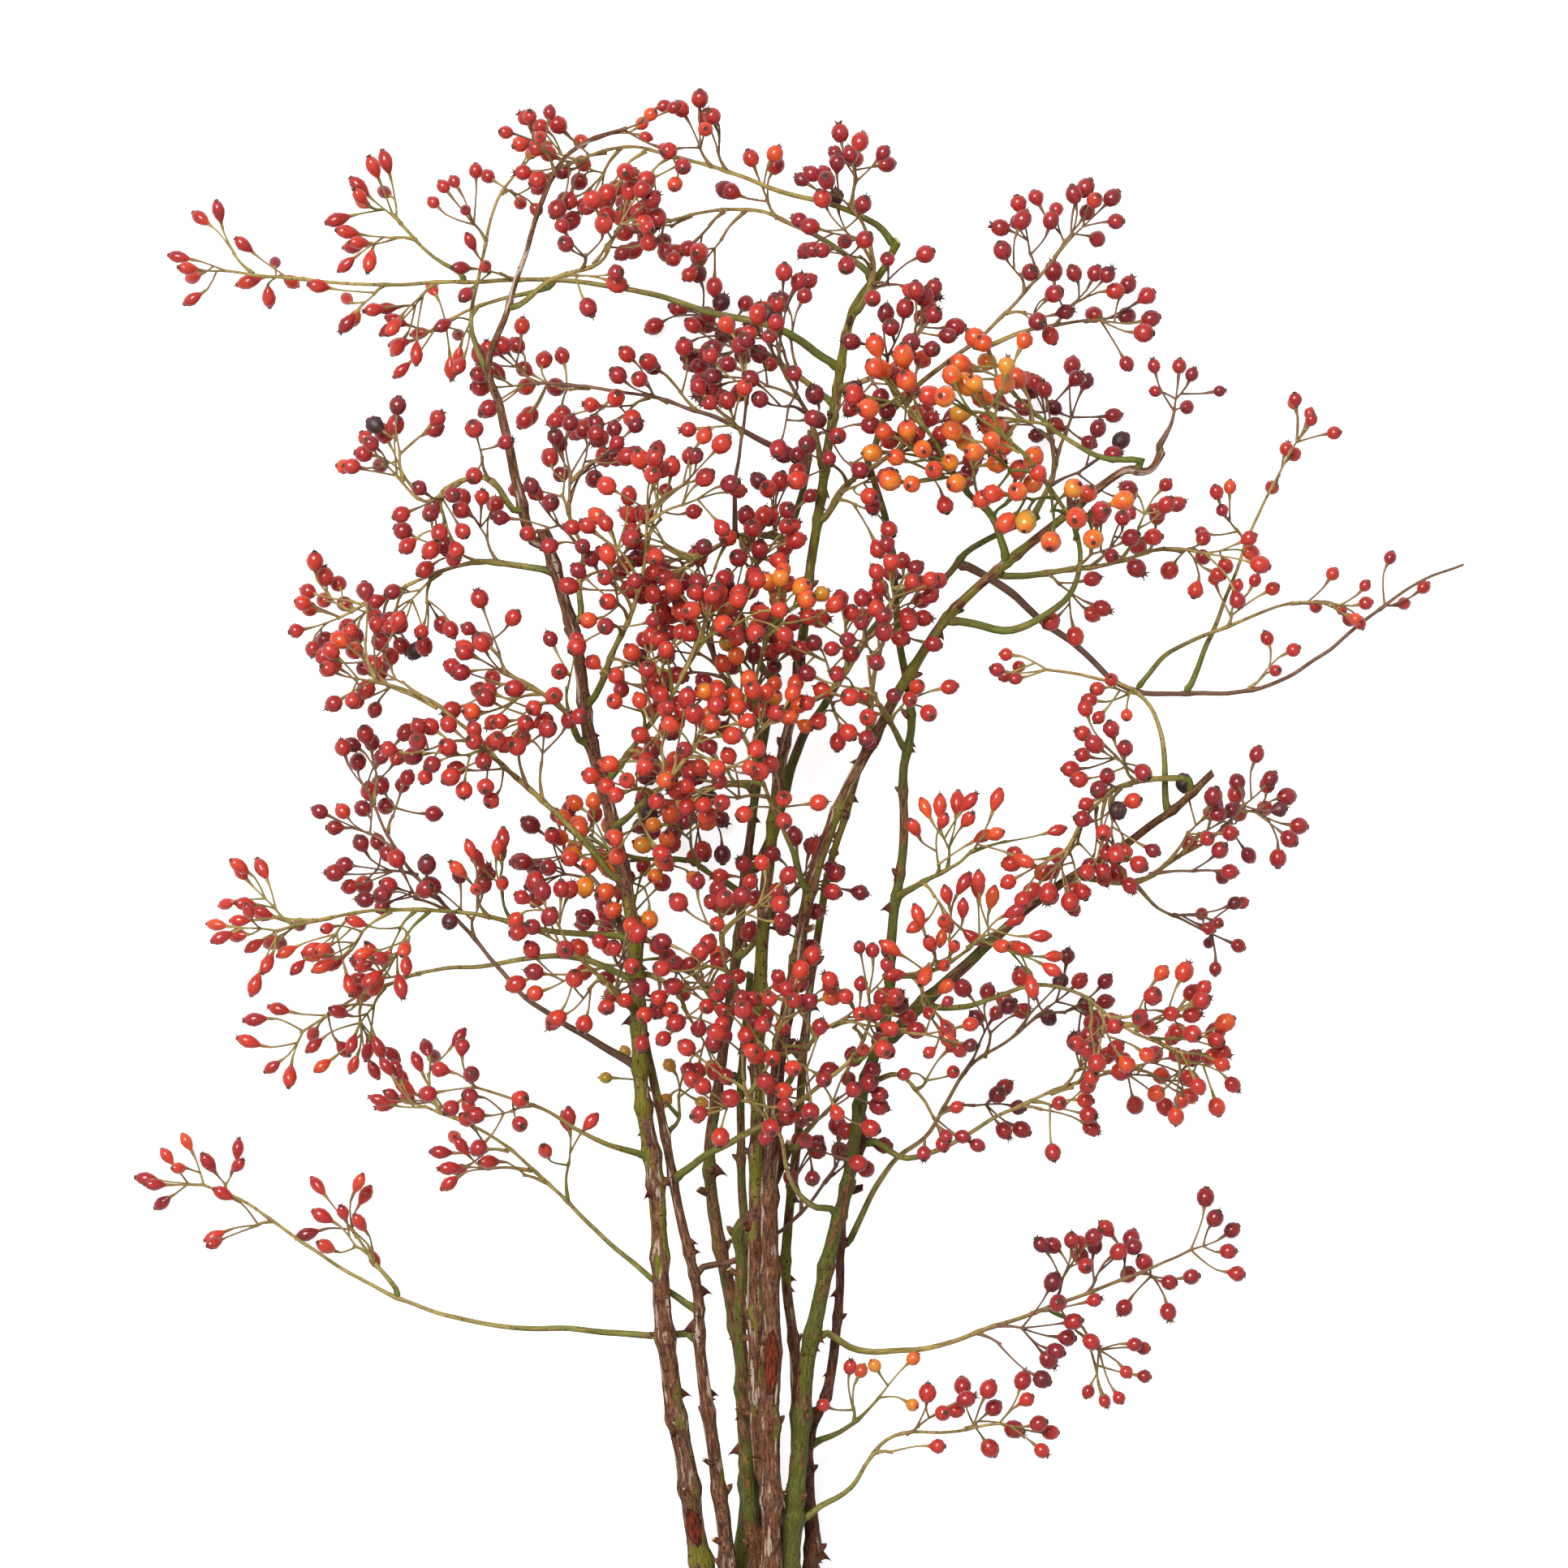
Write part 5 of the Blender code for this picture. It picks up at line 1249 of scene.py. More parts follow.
def cut_through(piece, faces, line, step):
    """Dress the end face at the first or last step of a stem as a slanting cut."""
    toward = -line.headings[step] if step else line.headings[step]
    radius = line.radii[step] * MM
    end = in_frame(line.spots[step])
    disc = min(faces, key=lambda face: (face.calc_center_median() - end).length)
    for vert in disc.verts:
        vert.co += toward * (radius + (vert.co - end).dot(line.sides[step])) * SLANT
        vert[piece.core] = 1.0
    disc.material_index = WOOD
    for inset, core in RINGS_OF_A_CUT:
        bmesh.ops.inset_individual(piece.bm, faces=[disc], thickness=radius * inset)
        for vert in disc.verts:
            vert[piece.core] = core
    bmesh.ops.translate(piece.bm, verts=list(disc.verts), vec=toward * radius * PITH_DEPTH)


def sides_for(radius):
    """Thick stems need more sides than thin ones to look round."""
    return next(sides for over, sides in SIDES if radius > over)


print("sides of a cane and of a spray:", sides_for(4.5), sides_for(1.8))

# %% [markdown]
# ## Stalks and hips
#
# A stalk leaves its node in the cyme's direction, bends a little under its hip's weight, and
# thickens where it meets the fruit. Neighbouring stalks often share their first few millimetres,
# since a cyme branches more than once, so a stalk may start from the side of an earlier one.

# %% What stalks and hips look like
STALK_LOOKS, TWIG_LOOKS = 0.46, 0.68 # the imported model's are a little thicker, to be strong enough
STALK_SIDES, TWIG_SIDES = 5, 6
STALK_STEP, TWIG_STEP = 3.2, 3.0
STALK_SAG = (0.02, 0.09)  # how far a stalk sags, as a share of its length
STALK_BENDS = ((0.35, 0.8), (0.75, 1.0))  # places along a stalk, and their shares of the sag
STALK_RADII = (1.3, 0.95, 0.9, 1.9)  # at its foot, at its two bends and inside its hip
STALK_NECK = 1.1  # just before the hip
STALK_IN = 0.3  # how far its end is sunk in the hip
LARGE_STALK = 1.3  # how much thicker the stalks of large hips are
STALK_FADE, TWIG_FADE = 0.04, 0.08  # how the colour drifts along a stalk and a twig
TWIG_RADII, TWIG_TIP = (1.7, 1.0, 0.9), 1.3
TWIG_BOW = 0.08
SHARED_ANGLE = 0.95  # stalks closer in direction than this may share their start
SHARED_PART, SHARED_ODDS = 0.3, 0.7
TINT_SPREAD = (-0.14, 0.18)
TIP_TINTS = {"orange": 0.22, "scarlet": 0.40, "red": 0.46, "maroon": 0.64, "unripe": 0.34}
STEM_TINTS = {"green": 0.14, "dark": 0.92, "brown": 0.8}
STRAW = 0.08  # the stems and stalks of long hips are paler than others
DARK_TIP = 0.72  # dark wood stays dull to its tip
# a spray's middle ripeness and its spread
RIPENESS = {"unripe": (0.05, 0.04), "orange": (0.28, 0.09), "scarlet": (0.48, 0.06),
            "red": (0.58, 0.08), "maroon": (0.70, 0.08)}
BLACK_ODDS, EARLY_ODDS, LATE_ODDS = 0.004, 0.05, 0.93
EARLY, LATE = 0.12, 0.14  # how far the early and the late ones are from the others
BLACK = 0.9  # riper than this is shrivelled

NECKS = {"round": 0.2, "large": 0.6, "small": 0.15}  # the share that runs into its stalk
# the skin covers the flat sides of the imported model's hips, and long hips are slimmer
PLUMP = {"ball": 0.14, "drop": 0.10, "olive": -0.38}
HIP_WIDTHS, HIP_DEPTH = (0.95, 1.03), 0.98
WRINKLED = 0.16  # the share of hips with a wrinkled skin
WRINKLES, EVEN_SKIN = (0.05, 0.14), 0.015  # how deep the dents are, as a share of the radius
DENTS = 0.55  # dents to the millimetre
LEVEL = 0.55  # a heavy hip hangs more level than its stalk starts out
FRESH_SCAR = 0.6  # an unripe hip's scar is this much of a ripe one's width
SCAR_HEIGHT, SCAR_STRETCH = 0.99, (0.7, 1.25)
SCAR_ODDS = (60, 22, 12, 6)  # of the four scars, in their order


def any_side(heading, rng):
    """A direction that is square to a heading, at random."""
    return turned(heading, math.pi / 2, rng.uniform(0, math.tau))


def ripeness(limb, rng):
    """How ripe a hip is, from 0, yellow, to 1, black. A few are far from the rest of their spray."""
    value = rng.gauss(*RIPENESS[limb.colour])
    chance = rng.random()
    if chance < BLACK_ODDS:
        value = 1.0
    elif chance < EARLY_ODDS:
        value += EARLY
    elif chance > LATE_ODDS:
        value -= LATE
    return clamp(value)


print("ripeness of a spray's hips:", RIPENESS)


# %% Stalks, twigs and hips
def heading_at(limb, point):
    """The heading of the stretch of a limb that a point belongs to."""
    step = min(range(len(limb.points) - 1), key=lambda k: (limb.at(k, 0.5) - point).length)
    return (limb.points[step + 1] - limb.points[step]).normalized()


def add_hip(piece, limb, hip, base, axis, rng):
    """A hip with its scar, turned and stretched a little so that no two are alike."""
    kind = "olive" if limb.shape == "oval" else "drop" if rng.random() < NECKS[limb.shape] else "ball"
    side = any_side(axis, rng)
    top = axis.cross(side)
    full = hip.radius + PLUMP[kind]
    wide = full * rng.uniform(*HIP_WIDTHS)
    ripe = ripeness(limb, rng)
    dry = rng.uniform(*WRINKLES) if ripe > BLACK or rng.random() < WRINKLED else EVEN_SKIN
    verts = piece.put(hip_shapes[kind], base, side * wide, top * full * HIP_DEPTH, axis * hip.length)
    centre = in_frame(base + axis * hip.length / 2)
    for vert in verts:
        vert[piece.ripe] = ripe
        out = vert.co - centre
        vert.co = centre + out * (1 + dry * noise.noise(out / MM * DENTS + base))
        vert.co.z = max(0.0, vert.co.z)
    stretch = rng.uniform(*SCAR_STRETCH)
    rim = wide * (FRESH_SCAR + (1 - FRESH_SCAR) * smooth(ripe / RIPENESS["maroon"][0]))
    scar = rng.choices(scar_shapes, SCAR_ODDS)[0]
    end = base + axis * hip.length * SCAR_HEIGHT
    piece.put(scar, end, side * rim, top * rim, axis * full * stretch)


def add_stalk(piece, limb, start, way, hip, tint, rng):
    """A thin stalk from a node to a hip, and the hip at its end."""
    span = (hip.base - start).length
    sag = any_side(way, rng) * span * rng.uniform(*STALK_SAG)
    level = Vector((1, 1, rng.uniform(LEVEL, 1)))
    axis = ((hip.base - start.lerp(hip.base, STALK_BENDS[-1][0]) - sag) * level).normalized()
    base = hip.base + (hip.axis - axis) * hip.length / 2
    bends = [start.lerp(base, place) + sag * share for place, share in STALK_BENDS]
    thick = STALK_LOOKS * (LARGE_STALK if limb.shape == "large" else 1.0)
    line = Line([start, *bends, base + axis * STALK_IN], [thick * share for share in STALK_RADII],
                STALK_STEP)
    line.radii[-2] = thick * STALK_NECK
    piece.bend(line, STALK_SIDES, STEM, (tint, tint + STALK_FADE))
    add_hip(piece, limb, hip, base, axis, rng)
    return line


def add_cyme(piece, limb, cyme, rng):
    """A twig, its stalks and its hips."""
    tint = TIP_TINTS[limb.colour] + rng.uniform(*TINT_SPREAD) - (STRAW if limb.shape == "oval" else 0)
    if cyme.root != cyme.end:
        bow = heading_at(limb, cyme.root) * (cyme.end - cyme.root).length * TWIG_BOW
        middle = cyme.root.lerp(cyme.end, 0.5) + bow
        line = Line([cyme.root, middle, cyme.end], [TWIG_LOOKS * share for share in TWIG_RADII],
                    TWIG_STEP)
        line.radii[-1] = TWIG_LOOKS * TWIG_TIP
        piece.bend(line, TWIG_SIDES, STEM, (tint - TWIG_FADE, tint))
    grown = []
    for hip in cyme.stalks:
        way = (hip.base - cyme.end).normalized()
        start = cyme.hold
        near = [line for other, line in grown if way.angle(other) < SHARED_ANGLE]
        if near and rng.random() < SHARED_ODDS:
            start = near[0].spots[max(1, round(near[0].rows * SHARED_PART))]
        line = add_stalk(piece, limb, start, (hip.base - start).normalized(), hip, tint, rng)
        grown.append((way, line))


print("hip shapes:", sorted(hip_shapes), " scars:", len(scar_shapes))

# %% [markdown]
# ## Thorns, buds and nodes
#
# A cane's thickness is never even. It swells a little at each node, where a leaf stood, and a bud
# sits there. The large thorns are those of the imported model. Smaller ones stand among them all
# along the cane, with a few stubs of twigs that were cut off.

# %% Nodes along a stem
NODE_EVERY = 34.0
FIRST_NODE = 0.6  # where the first one is, as a share of that
BARE_FOOT = 0.12  # the share of a cane, in and below the band, that bears nothing
SMALL_THORNS = 15
SMALL_THORN = (1.8, 3.4)
THORN_SUNK, THORN_MORE = 0.86, 1.05  # a thorn's foot in the bark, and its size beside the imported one's
STUBS = 2
STUB_LENGTH, STUB_RADIUS = (3.5, 8.0), (0.8, 1.4)
STUB_LEAN, STUB_RADII, STUB_STEP, STUB_SIDES = 0.6, (2.0, 1.35, 1.0), 1.2, 9
STUB_AGE, STUB_RELIEF = 0.9, 0.2
BUD_SIZE, BUD_SUNK, BUD_LEAN, BUD_LONG = (1.7, 2.9), 0.8, 0.9, 1.3
# how green or old the bark is, from the cut end to the tip: 0 is all green, 1 all brown
AGES = {
    "cane_a": (0.50, 0.38, 0.64, 0.85, 0.60, 0.42, 0.36, 0.38, 0.92, 1.0, 1.0),
    "cane_b": (0.95, 0.92, 0.80, 0.84, 0.60, 0.50), "cane_c": (0.42, 0.30, 0.60, 0.55, 0.34, 0.34),
    "cane_d": (0.95, 0.80, 0.36, 0.40, 0.50, 0.62),
    "cane_f": (0.98, 0.98, 0.82, 0.90, 0.48, 0.44, 0.95),
    "cane_g": (0.36, 0.30, 0.34, 0.30, 0.40, 0.30), "cane_h": (0.80, 0.86, 0.80, 0.60),
    "cane_i": (0.70, 0.56, 0.60, 0.40, 0.36), "cane_k": (0.40, 0.28, 0.36, 0.30),
    "cane_l": (0.90, 0.82, 0.50, 0.40, 0.62, 0.34, 0.30), "fork_right": (0.34, 0.50, 0.88, 0.98),
}
# where a strip of bark is torn off the upper side: the y of its middle, and half its length
WOUNDS = {"cane_f": (171.0, 16.0), "cane_a": (101.0, 9.0)}


def own_nodes(line):
    """The places along a cane where a leaf once stood."""
    count = int(line.far[-1] / NODE_EVERY)
    return [line.spots[round(line.rows * (k + FIRST_NODE) / (count + 1))] for k in range(count)]


def node_places(limb, line):
    """Where a stem swells: where others leave it, and at its own nodes in between."""
    places = [other.points[0] for other in limbs.values() if other.parent == limb.name]
    if limb.parent:
        places += [cyme.root for cyme in cymes.get(limb.name, [])]
    else:
        places += own_nodes(line)
    return places


def add_thorn(piece, line, foot, way, length):
    """A thorn on the skin of a stem, hooked back towards its root."""
    step = line.nearest(foot)
    heading = line.headings[step]
    out = square_to(way, heading)
    skin = line.spots[step] + out * line.radii[step] * THORN_SUNK
    piece.put(thorn_template, skin, heading.cross(out) * length, heading * length, out * length)


def add_stub(piece, limb, line, step, way, rng):
    """What is left of a side twig that was cut off or broke off, if there is room for it."""
    skin = line.spots[step] + way * line.radii[step]
    tip = skin + (way + line.headings[step] * STUB_LEAN).normalized() * rng.uniform(*STUB_LENGTH)
    radius = rng.uniform(*STUB_RADIUS)
    if crowd.free(skin + way * radius, tip, radius, limb.piece, "stub"):
        crowd.add(skin, tip, radius, limb.piece, "stub")
        stub = Line([line.spots[step], skin, tip], [radius * share for share in STUB_RADII], STUB_STEP)
        faces = piece.bend(stub, STUB_SIDES, BARK, (STUB_AGE, STUB_AGE), STUB_RELIEF, step)
        cut_through(piece, faces, stub, stub.rows)


def add_bud(piece, line, step, way, size):
    """A bud on the skin of a stem, leaning towards its tip."""
    heading = line.headings[step]
    out = (way + heading * BUD_LEAN).normalized()
    side = heading.cross(out).normalized()
    verts = piece.put(bud_template, line.spots[step] + way * line.radii[step] * BUD_SUNK,
                      side * size, out.cross(side) * size, out * size * BUD_LONG)
    for vert in verts:
        vert[piece.grain] = vert.co
        vert[piece.tint] = 1.0


def add_small_growths(piece, limb, line):
    """Stubs and small thorns at random, and a bud at each of a cane's own nodes."""
    rng = random.Random(limb.name + " small")
    first = round(line.rows * BARE_FOOT)
    for number in range(SMALL_THORNS + STUBS):
        step = rng.randrange(first, line.rows)
        way = any_side(line.headings[step], rng)
        if number < STUBS:
            add_stub(piece, limb, line, step, way, rng)
        else:
            add_thorn(piece, line, line.spots[step], way, rng.uniform(*SMALL_THORN))
    for place in own_nodes(line):
        step = line.nearest(place)
        if step > first:
            way = any_side(line.headings[step], rng)
            add_bud(piece, line, step, way, rng.uniform(*BUD_SIZE))


print("canes get", THORNS + SMALL_THORNS, "thorns each")

# %% [markdown]
# ## Growing all the pieces
#
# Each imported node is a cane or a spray, and the piece that stands for it holds the same stems,
# thorns and hips, only finer.

# %% Canes and sprays
NODE_SWELL = 0.30
THICK_FORK = THICK_END + 0.3  # a fork thicker than this has bark
MIDDLE_TINT = 0.7  # halfway along, a stem has come this far towards its tip's colour
RELIEF = (0.11, 0.08)  # of a cane and of any other stem


def stem_tints(limb):
    """The colours along a young stem: its own at the foot, its hips' stalks' at the tip."""
    base = STEM_TINTS[limb.bark]
    tip = TIP_TINTS[limb.colour] - (STRAW if limb.shape == "oval" else 0) if limb.hips else base
    if limb.bark == "dark":
        tip = max(tip, DARK_TIP)
    return base, base + (tip - base) * MIDDLE_TINT, tip


def add_stem(piece, limb):
    line = stem_line(limb)
    is_cane = limb.parent is None
    line.swell(node_places(limb, line), NODE_SWELL)
    has_bark = limb.piece in CANES and (is_cane or limb.thick > THICK_FORK)
    tints = AGES.get(limb.name, AGES[limb.piece][-2:]) if has_bark else stem_tints(limb)
    seed = 37.0 * (sum(map(ord, limb.name)) % 97)  # so that no two stems have the same bark
    faces = piece.bend(line, sides_for(limb.thick), BARK if has_bark else STEM, tints,
                       RELIEF[0 if is_cane else 1], seed, WOUNDS.get(limb.name))
    if is_cane:
        cut_through(piece, faces, line, 0)
        add_small_growths(piece, limb, line)
    if limb.thin > THICK_END:
        cut_through(piece, faces, line, line.rows)
    for foot, tip in thorns.get(limb.name, []):
        add_thorn(piece, line, foot, tip - foot, (tip - foot).length * THORN_MORE)
    rng = random.Random(limb.name + " looks")
    for cyme in cymes.get(limb.name, []):
        add_cyme(piece, limb, cyme, rng)


# %% [markdown]
# ## Writing materials as code
#
# A material is a small graph, and long runs of "new node, new link" are hard to read. A thin
# wrapper keeps each step on one line. Its rule is simple: where a node's input is given another
# node's output it makes a link, and where it is given a number it sets the number. Colours are
# written as they are seen on a screen, from 0 to 255, and turned into the linear numbers that
# Blender reckons with.

# %% A short way to write node trees
def paint(red, green, blue):
    """A screen colour as linear numbers."""
    return (*Color((red / 255, green / 255, blue / 255)).from_srgb_to_scene_linear(), 1.0)


class Tree:
    """A node tree, with short ways to add nodes and to join them."""

    def __init__(self, tree):
        self.tree = tree

    def join(self, value, socket):
        if isinstance(value, bpy.types.NodeSocket):
            self.tree.links.new(value, socket)
        else:
            socket.default_value = value

    def add(self, kind, inputs, **settings):
        node = self.tree.nodes.new(kind)
        for key, value in settings.items():
            setattr(node, key, value)
        for key, value in inputs.items():
            self.join(value, node.inputs[key])
        return node

    def attribute(self, name, output="Fac"):
        return self.add("ShaderNodeAttribute", {}, attribute_name=name).outputs[output]

    def math(self, operation, one, two):
        return self.add("ShaderNodeMath", {0: one, 1: two}, operation=operation).outputs[0]

    def scaled(self, value, low, high):
        """Bring a value from 0 to 1 into another range."""
        return self.add("ShaderNodeMapRange", {0: value, 3: low, 4: high}).outputs[0]

    def mask(self, value, low, high):
        """0 below a range and 1 above it, with a soft step in between."""
        return self.add("ShaderNodeMapRange", {0: value, 1: low, 2: high},
                        interpolation_type="SMOOTHSTEP").outputs[0]

    def stretched(self, vector, along):
        """Draw a pattern out along the third axis, which runs along a stem."""
        return self.add("ShaderNodeVectorMath", {0: vector, 1: (1.0, 1.0, along)},
                        operation="MULTIPLY").outputs[0]

    def noise(self, vector, scale, detail=2.0):
        return self.add("ShaderNodeTexNoise", {"Vector": vector, "Scale": scale, "Detail": detail}
                        ).outputs["Fac"]

    def blend(self, share, one, two, how="MIX"):
        node = self.add("ShaderNodeMix", {0: share, 6: one, 7: two}, data_type="RGBA", blend_type=how)
        return node.outputs[2]

    def ramp(self, value, stops):
        """A colour for a value, from (place, screen colour) stops."""
        node = self.add("ShaderNodeValToRGB", {0: value})
        line = node.color_ramp.elements
        while len(line) < len(stops):
            line.new(0.5)
        for stop, (place, colour) in zip(line, stops):
            stop.position = place
            stop.color = paint(*colour)
        return node.outputs[0]

    def bump(self, height, strength, depth):
        return self.add("ShaderNodeBump", {"Height": height, "Strength": strength,
                                           "Distance": depth * MM}).outputs[0]


def new_material(name):
    """A material with its tree and its Principled shader."""
    made = bpy.data.materials.new(name)
    made.use_nodes = True
    return made, Tree(made.node_tree), made.node_tree.nodes["Principled BSDF"]


print("the green of a young cane, linear:", [round(x, 3) for x in paint(96, 118, 48)])

# %% [markdown]
# ## What time does to bark
#
# A rose cane starts green and smooth. With age brown patches spread over the green, fine streaks
# open along it, grey skin peels off in strips, and small corky dots and specks, the lenticels, let
# the wood breathe. All the stems show some of this, so it is one node group. It knows nothing about
# colours: it only says where each mark is. Each stem's material then paints the marks in its own
# colours. The patterns read the "grain" that was written on the tubes, which is why every streak
# follows its stem round each bend.

# %% The bark marks group
# each pattern's waves or cells to the metre, its stretch (below 1 is longer) and its detail
WIDE, PATCHES = (60.0, 0.3, 2.0), (260.0, 0.25, 4.0)
STREAKS, STRIPS = (1000.0, 0.2, 6.0), (480.0, 0.12, 6.0)
DOTS, SPECKS, SPECK_FIELDS = (420.0, 1.5), (1600.0, 0.8), 240.0
AGE_STRAY = (0.75, 0.7, 0.07)  # how far patches, wide patches and streaks move old bark's edge
# the values of a pattern at which its mark starts and is full
STREAK_EDGE, OLD_EDGE, PEEL_EDGE = (0.3, 0.7), (0.46, 0.56), (0.70, 0.78)
DOT_EDGE, DOT_CHOICE, SPECK_EDGE, SPECK_CHOICE = (0.34, 0.14), (0.98, 1.0), (0.36, 0.2), (0.44, 0.56)
PEEL_HEIGHT, DOT_HEIGHT, SPECK_HEIGHT = 0.45, 0.5, 0.25


def bark_marks_group():
    group = bpy.data.node_groups.new("bark marks", "ShaderNodeTree")
    group.interface.new_socket("Grain", in_out="INPUT", socket_type="NodeSocketVector")
    for label in ("Age", "Peel", "Dots"):
        group.interface.new_socket(label, in_out="INPUT", socket_type="NodeSocketFloat")
    tree = Tree(group)
    given = group.nodes.new("NodeGroupInput").outputs
    grain = given["Grain"]

    def pattern(scale, along, detail):
        return tree.noise(tree.stretched(grain, along), scale, detail)

    def cells(scale, along):
        place = tree.stretched(grain, along)
        return tree.add("ShaderNodeTexVoronoi", {"Vector": place, "Scale": scale}).outputs

    streaks = tree.mask(pattern(*STREAKS), *STREAK_EDGE)
    patches, wide, frayed = (tree.scaled(value, -far, far) for value, far in zip(
        (pattern(*PATCHES), pattern(*WIDE), streaks), AGE_STRAY))
    stray = tree.math("ADD", tree.math("ADD", patches, wide), frayed)
    old = tree.mask(tree.math("ADD", given["Age"], stray), *OLD_EDGE)
    peeled = tree.mask(tree.math("ADD", pattern(*STRIPS), given["Peel"]), *PEEL_EDGE)
    peeled = tree.math("MULTIPLY", peeled, old)
    dots = cells(*DOTS)
    chosen = tree.mask(tree.math("ADD", dots["Color"], given["Dots"]), *DOT_CHOICE)
    dotted = tree.math("MULTIPLY", tree.mask(dots["Distance"], *DOT_EDGE), chosen)
    specks = tree.math("MULTIPLY", tree.mask(cells(*SPECKS)["Distance"], *SPECK_EDGE),
                       tree.mask(tree.noise(grain, SPECK_FIELDS), *SPECK_CHOICE))
    height = tree.scaled(streaks, -0.5, 0.5)
    for mark, rise in ((peeled, PEEL_HEIGHT), (dotted, DOT_HEIGHT), (specks, SPECK_HEIGHT)):
        height = tree.math("ADD", height, tree.scaled(mark, 0.0, rise))
    marks = {"Old": old, "Peeled": peeled, "Dotted": dotted, "Specks": specks, "Streaks": streaks,
             "Height": height}
    for label in marks:
        group.interface.new_socket(label, in_out="OUTPUT", socket_type="NodeSocketFloat")
    tree.add("NodeGroupOutput", marks)
    return group


def marks_on(tree, grain, age, peel, dots):
    """The group placed in a material, with the material's own values."""
    given = {"Grain": grain, "Age": age, "Peel": peel, "Dots": dots}
    return tree.add("ShaderNodeGroup", given, node_tree=bark_marks).outputs


bark_marks = bark_marks_group()
print("marks:", [item.name for item in bark_marks.interface.items_tree])

# %% [markdown]
# ## Three barks
#
# The bunch mixes canes of different ages. The brown ones are two years old and peel, the green
# ones are this year's, and the dark one has turned a deep red-brown. Along one cane the age changes
# too, so it is written on the tube and read here. The three materials differ only in their
# paints and in how much peels.

# %% Bark materials
MOTTLE, BROAD, BROAD_STRETCH, BROAD_EDGE = 900.0, 110.0, 0.5, (0.42, 0.6)
STREAK_SHADES = (0.12, 1.85)  # how dark and how bright the streaks of old bark are
WARM_BROWN = paint(104, 58, 36)  # in broad patches of old bark
TORN_RIM, TORN_WOOD = paint(44, 28, 20), (paint(50, 18, 10), paint(136, 54, 28))
TORN_RIM_EDGE, TORN_WOOD_EDGE, TORN_RAGS = (0.02, 0.12), (0.14, 0.26), 0.25


def bark_material(name, young, old, pale, dot, peel, dots, rough):
    made, tree, shader = new_material(name)
    grain = tree.attribute("grain", "Vector")
    marks = marks_on(tree, grain, tree.attribute("tint"), peel, dots)
    soft = tree.noise(grain, MOTTLE)
    colour = tree.blend(tree.scaled(soft, 0.0, 0.55), *young)
    broad = tree.mask(tree.noise(tree.stretched(grain, BROAD_STRETCH), BROAD), *BROAD_EDGE)
    brown = tree.blend(tree.scaled(broad, 0.0, 0.5), tree.blend(soft, *old), WARM_BROWN)
    colour = tree.blend(marks["Old"], colour, brown)
    shade = tree.scaled(marks["Streaks"], *STREAK_SHADES)
    shade = tree.add("ShaderNodeCombineColor", {0: shade, 1: shade, 2: shade}).outputs[0]
    colour = tree.blend(tree.scaled(marks["Old"], 0.3, 0.75), colour, shade, "MULTIPLY")
    colour = tree.blend(tree.scaled(marks["Peeled"], 0.0, 0.85), colour, pale)
    colour = tree.blend(marks["Dotted"], colour, dot)
    colour = tree.blend(tree.scaled(marks["Specks"], 0.0, 0.6), colour, tree.blend(soft, dot, pale))
    rags = tree.scaled(marks["Streaks"], 0.0, TORN_RAGS)
    ragged = tree.math("SUBTRACT", tree.attribute("torn"), rags)
    wood = tree.blend(marks["Streaks"], *TORN_WOOD)
    colour = tree.blend(tree.mask(ragged, *TORN_RIM_EDGE), colour, TORN_RIM)
    colour = tree.blend(tree.mask(ragged, *TORN_WOOD_EDGE), colour, wood)
    tree.join(colour, shader.inputs["Base Color"])
    tree.join(tree.scaled(marks["Old"], *rough), shader.inputs["Roughness"])
    tree.join(tree.bump(marks["Height"], 0.9, 0.4), shader.inputs["Normal"])
    shader.inputs["Specular IOR Level"].default_value = 0.22
    return made


barks = {
    "bark_brown": bark_material(
        "brown bark", young=(paint(98, 96, 24), paint(148, 136, 48)),
        old=(paint(68, 42, 29), paint(134, 92, 64)), pale=paint(198, 176, 156),
        dot=paint(62, 38, 27), peel=0.14, dots=0.40, rough=(0.55, 0.82)),
    "bark_green": bark_material(
        "green bark", young=(paint(76, 80, 24), paint(114, 112, 44)),
        old=(paint(78, 52, 30), paint(128, 90, 58)), pale=paint(176, 156, 126),
        dot=paint(74, 46, 28), peel=0.0, dots=0.52, rough=(0.48, 0.75)),
    "bark_dark": bark_material(
        "dark bark", young=(paint(66, 54, 26), paint(104, 84, 48)),
        old=(paint(58, 35, 28), paint(122, 82, 68)), pale=paint(168, 146, 130),
        dot=paint(40, 26, 20), peel=0.06, dots=0.42, rough=(0.55, 0.8)),
}
print("barks:", sorted(barks))

# %% [markdown]
# ## Young stems
#
# The sprays, twigs and stalks are this summer's wood. Their colour says how far the season has
# gone in them: fresh green round the orange hips, straw yellow round most red ones, and a dull
# mauve brown where the hips are nearly black. The value written on each tube picks the colour from
# one ramp, so a stem can drift from one to the other along its length.

# %% Stem material
STEM_COLOURS = [(0.0, (90, 110, 36)), (0.16, (114, 120, 46)), (0.36, (186, 162, 94)),
                (0.52, (164, 132, 82)), (0.72, (142, 102, 82)), (1.0, (84, 60, 50))]
YOUNG_STEM = dict(age=0.33, peel=-0.2, dots=0.44)
STEM_DRIFT = 0.16  # how far the colour strays along the ramp
# a mark, how much of its tone shows without it and with it, and the tone
STEM_MARKS = (("Old", 0.0, 0.45, paint(92, 58, 38)), ("Streaks", 0.5, 0.0, paint(62, 50, 28)),
              ("Specks", 0.0, 0.35, paint(150, 124, 74)), ("Dotted", 0.0, 0.7, paint(64, 42, 28)))


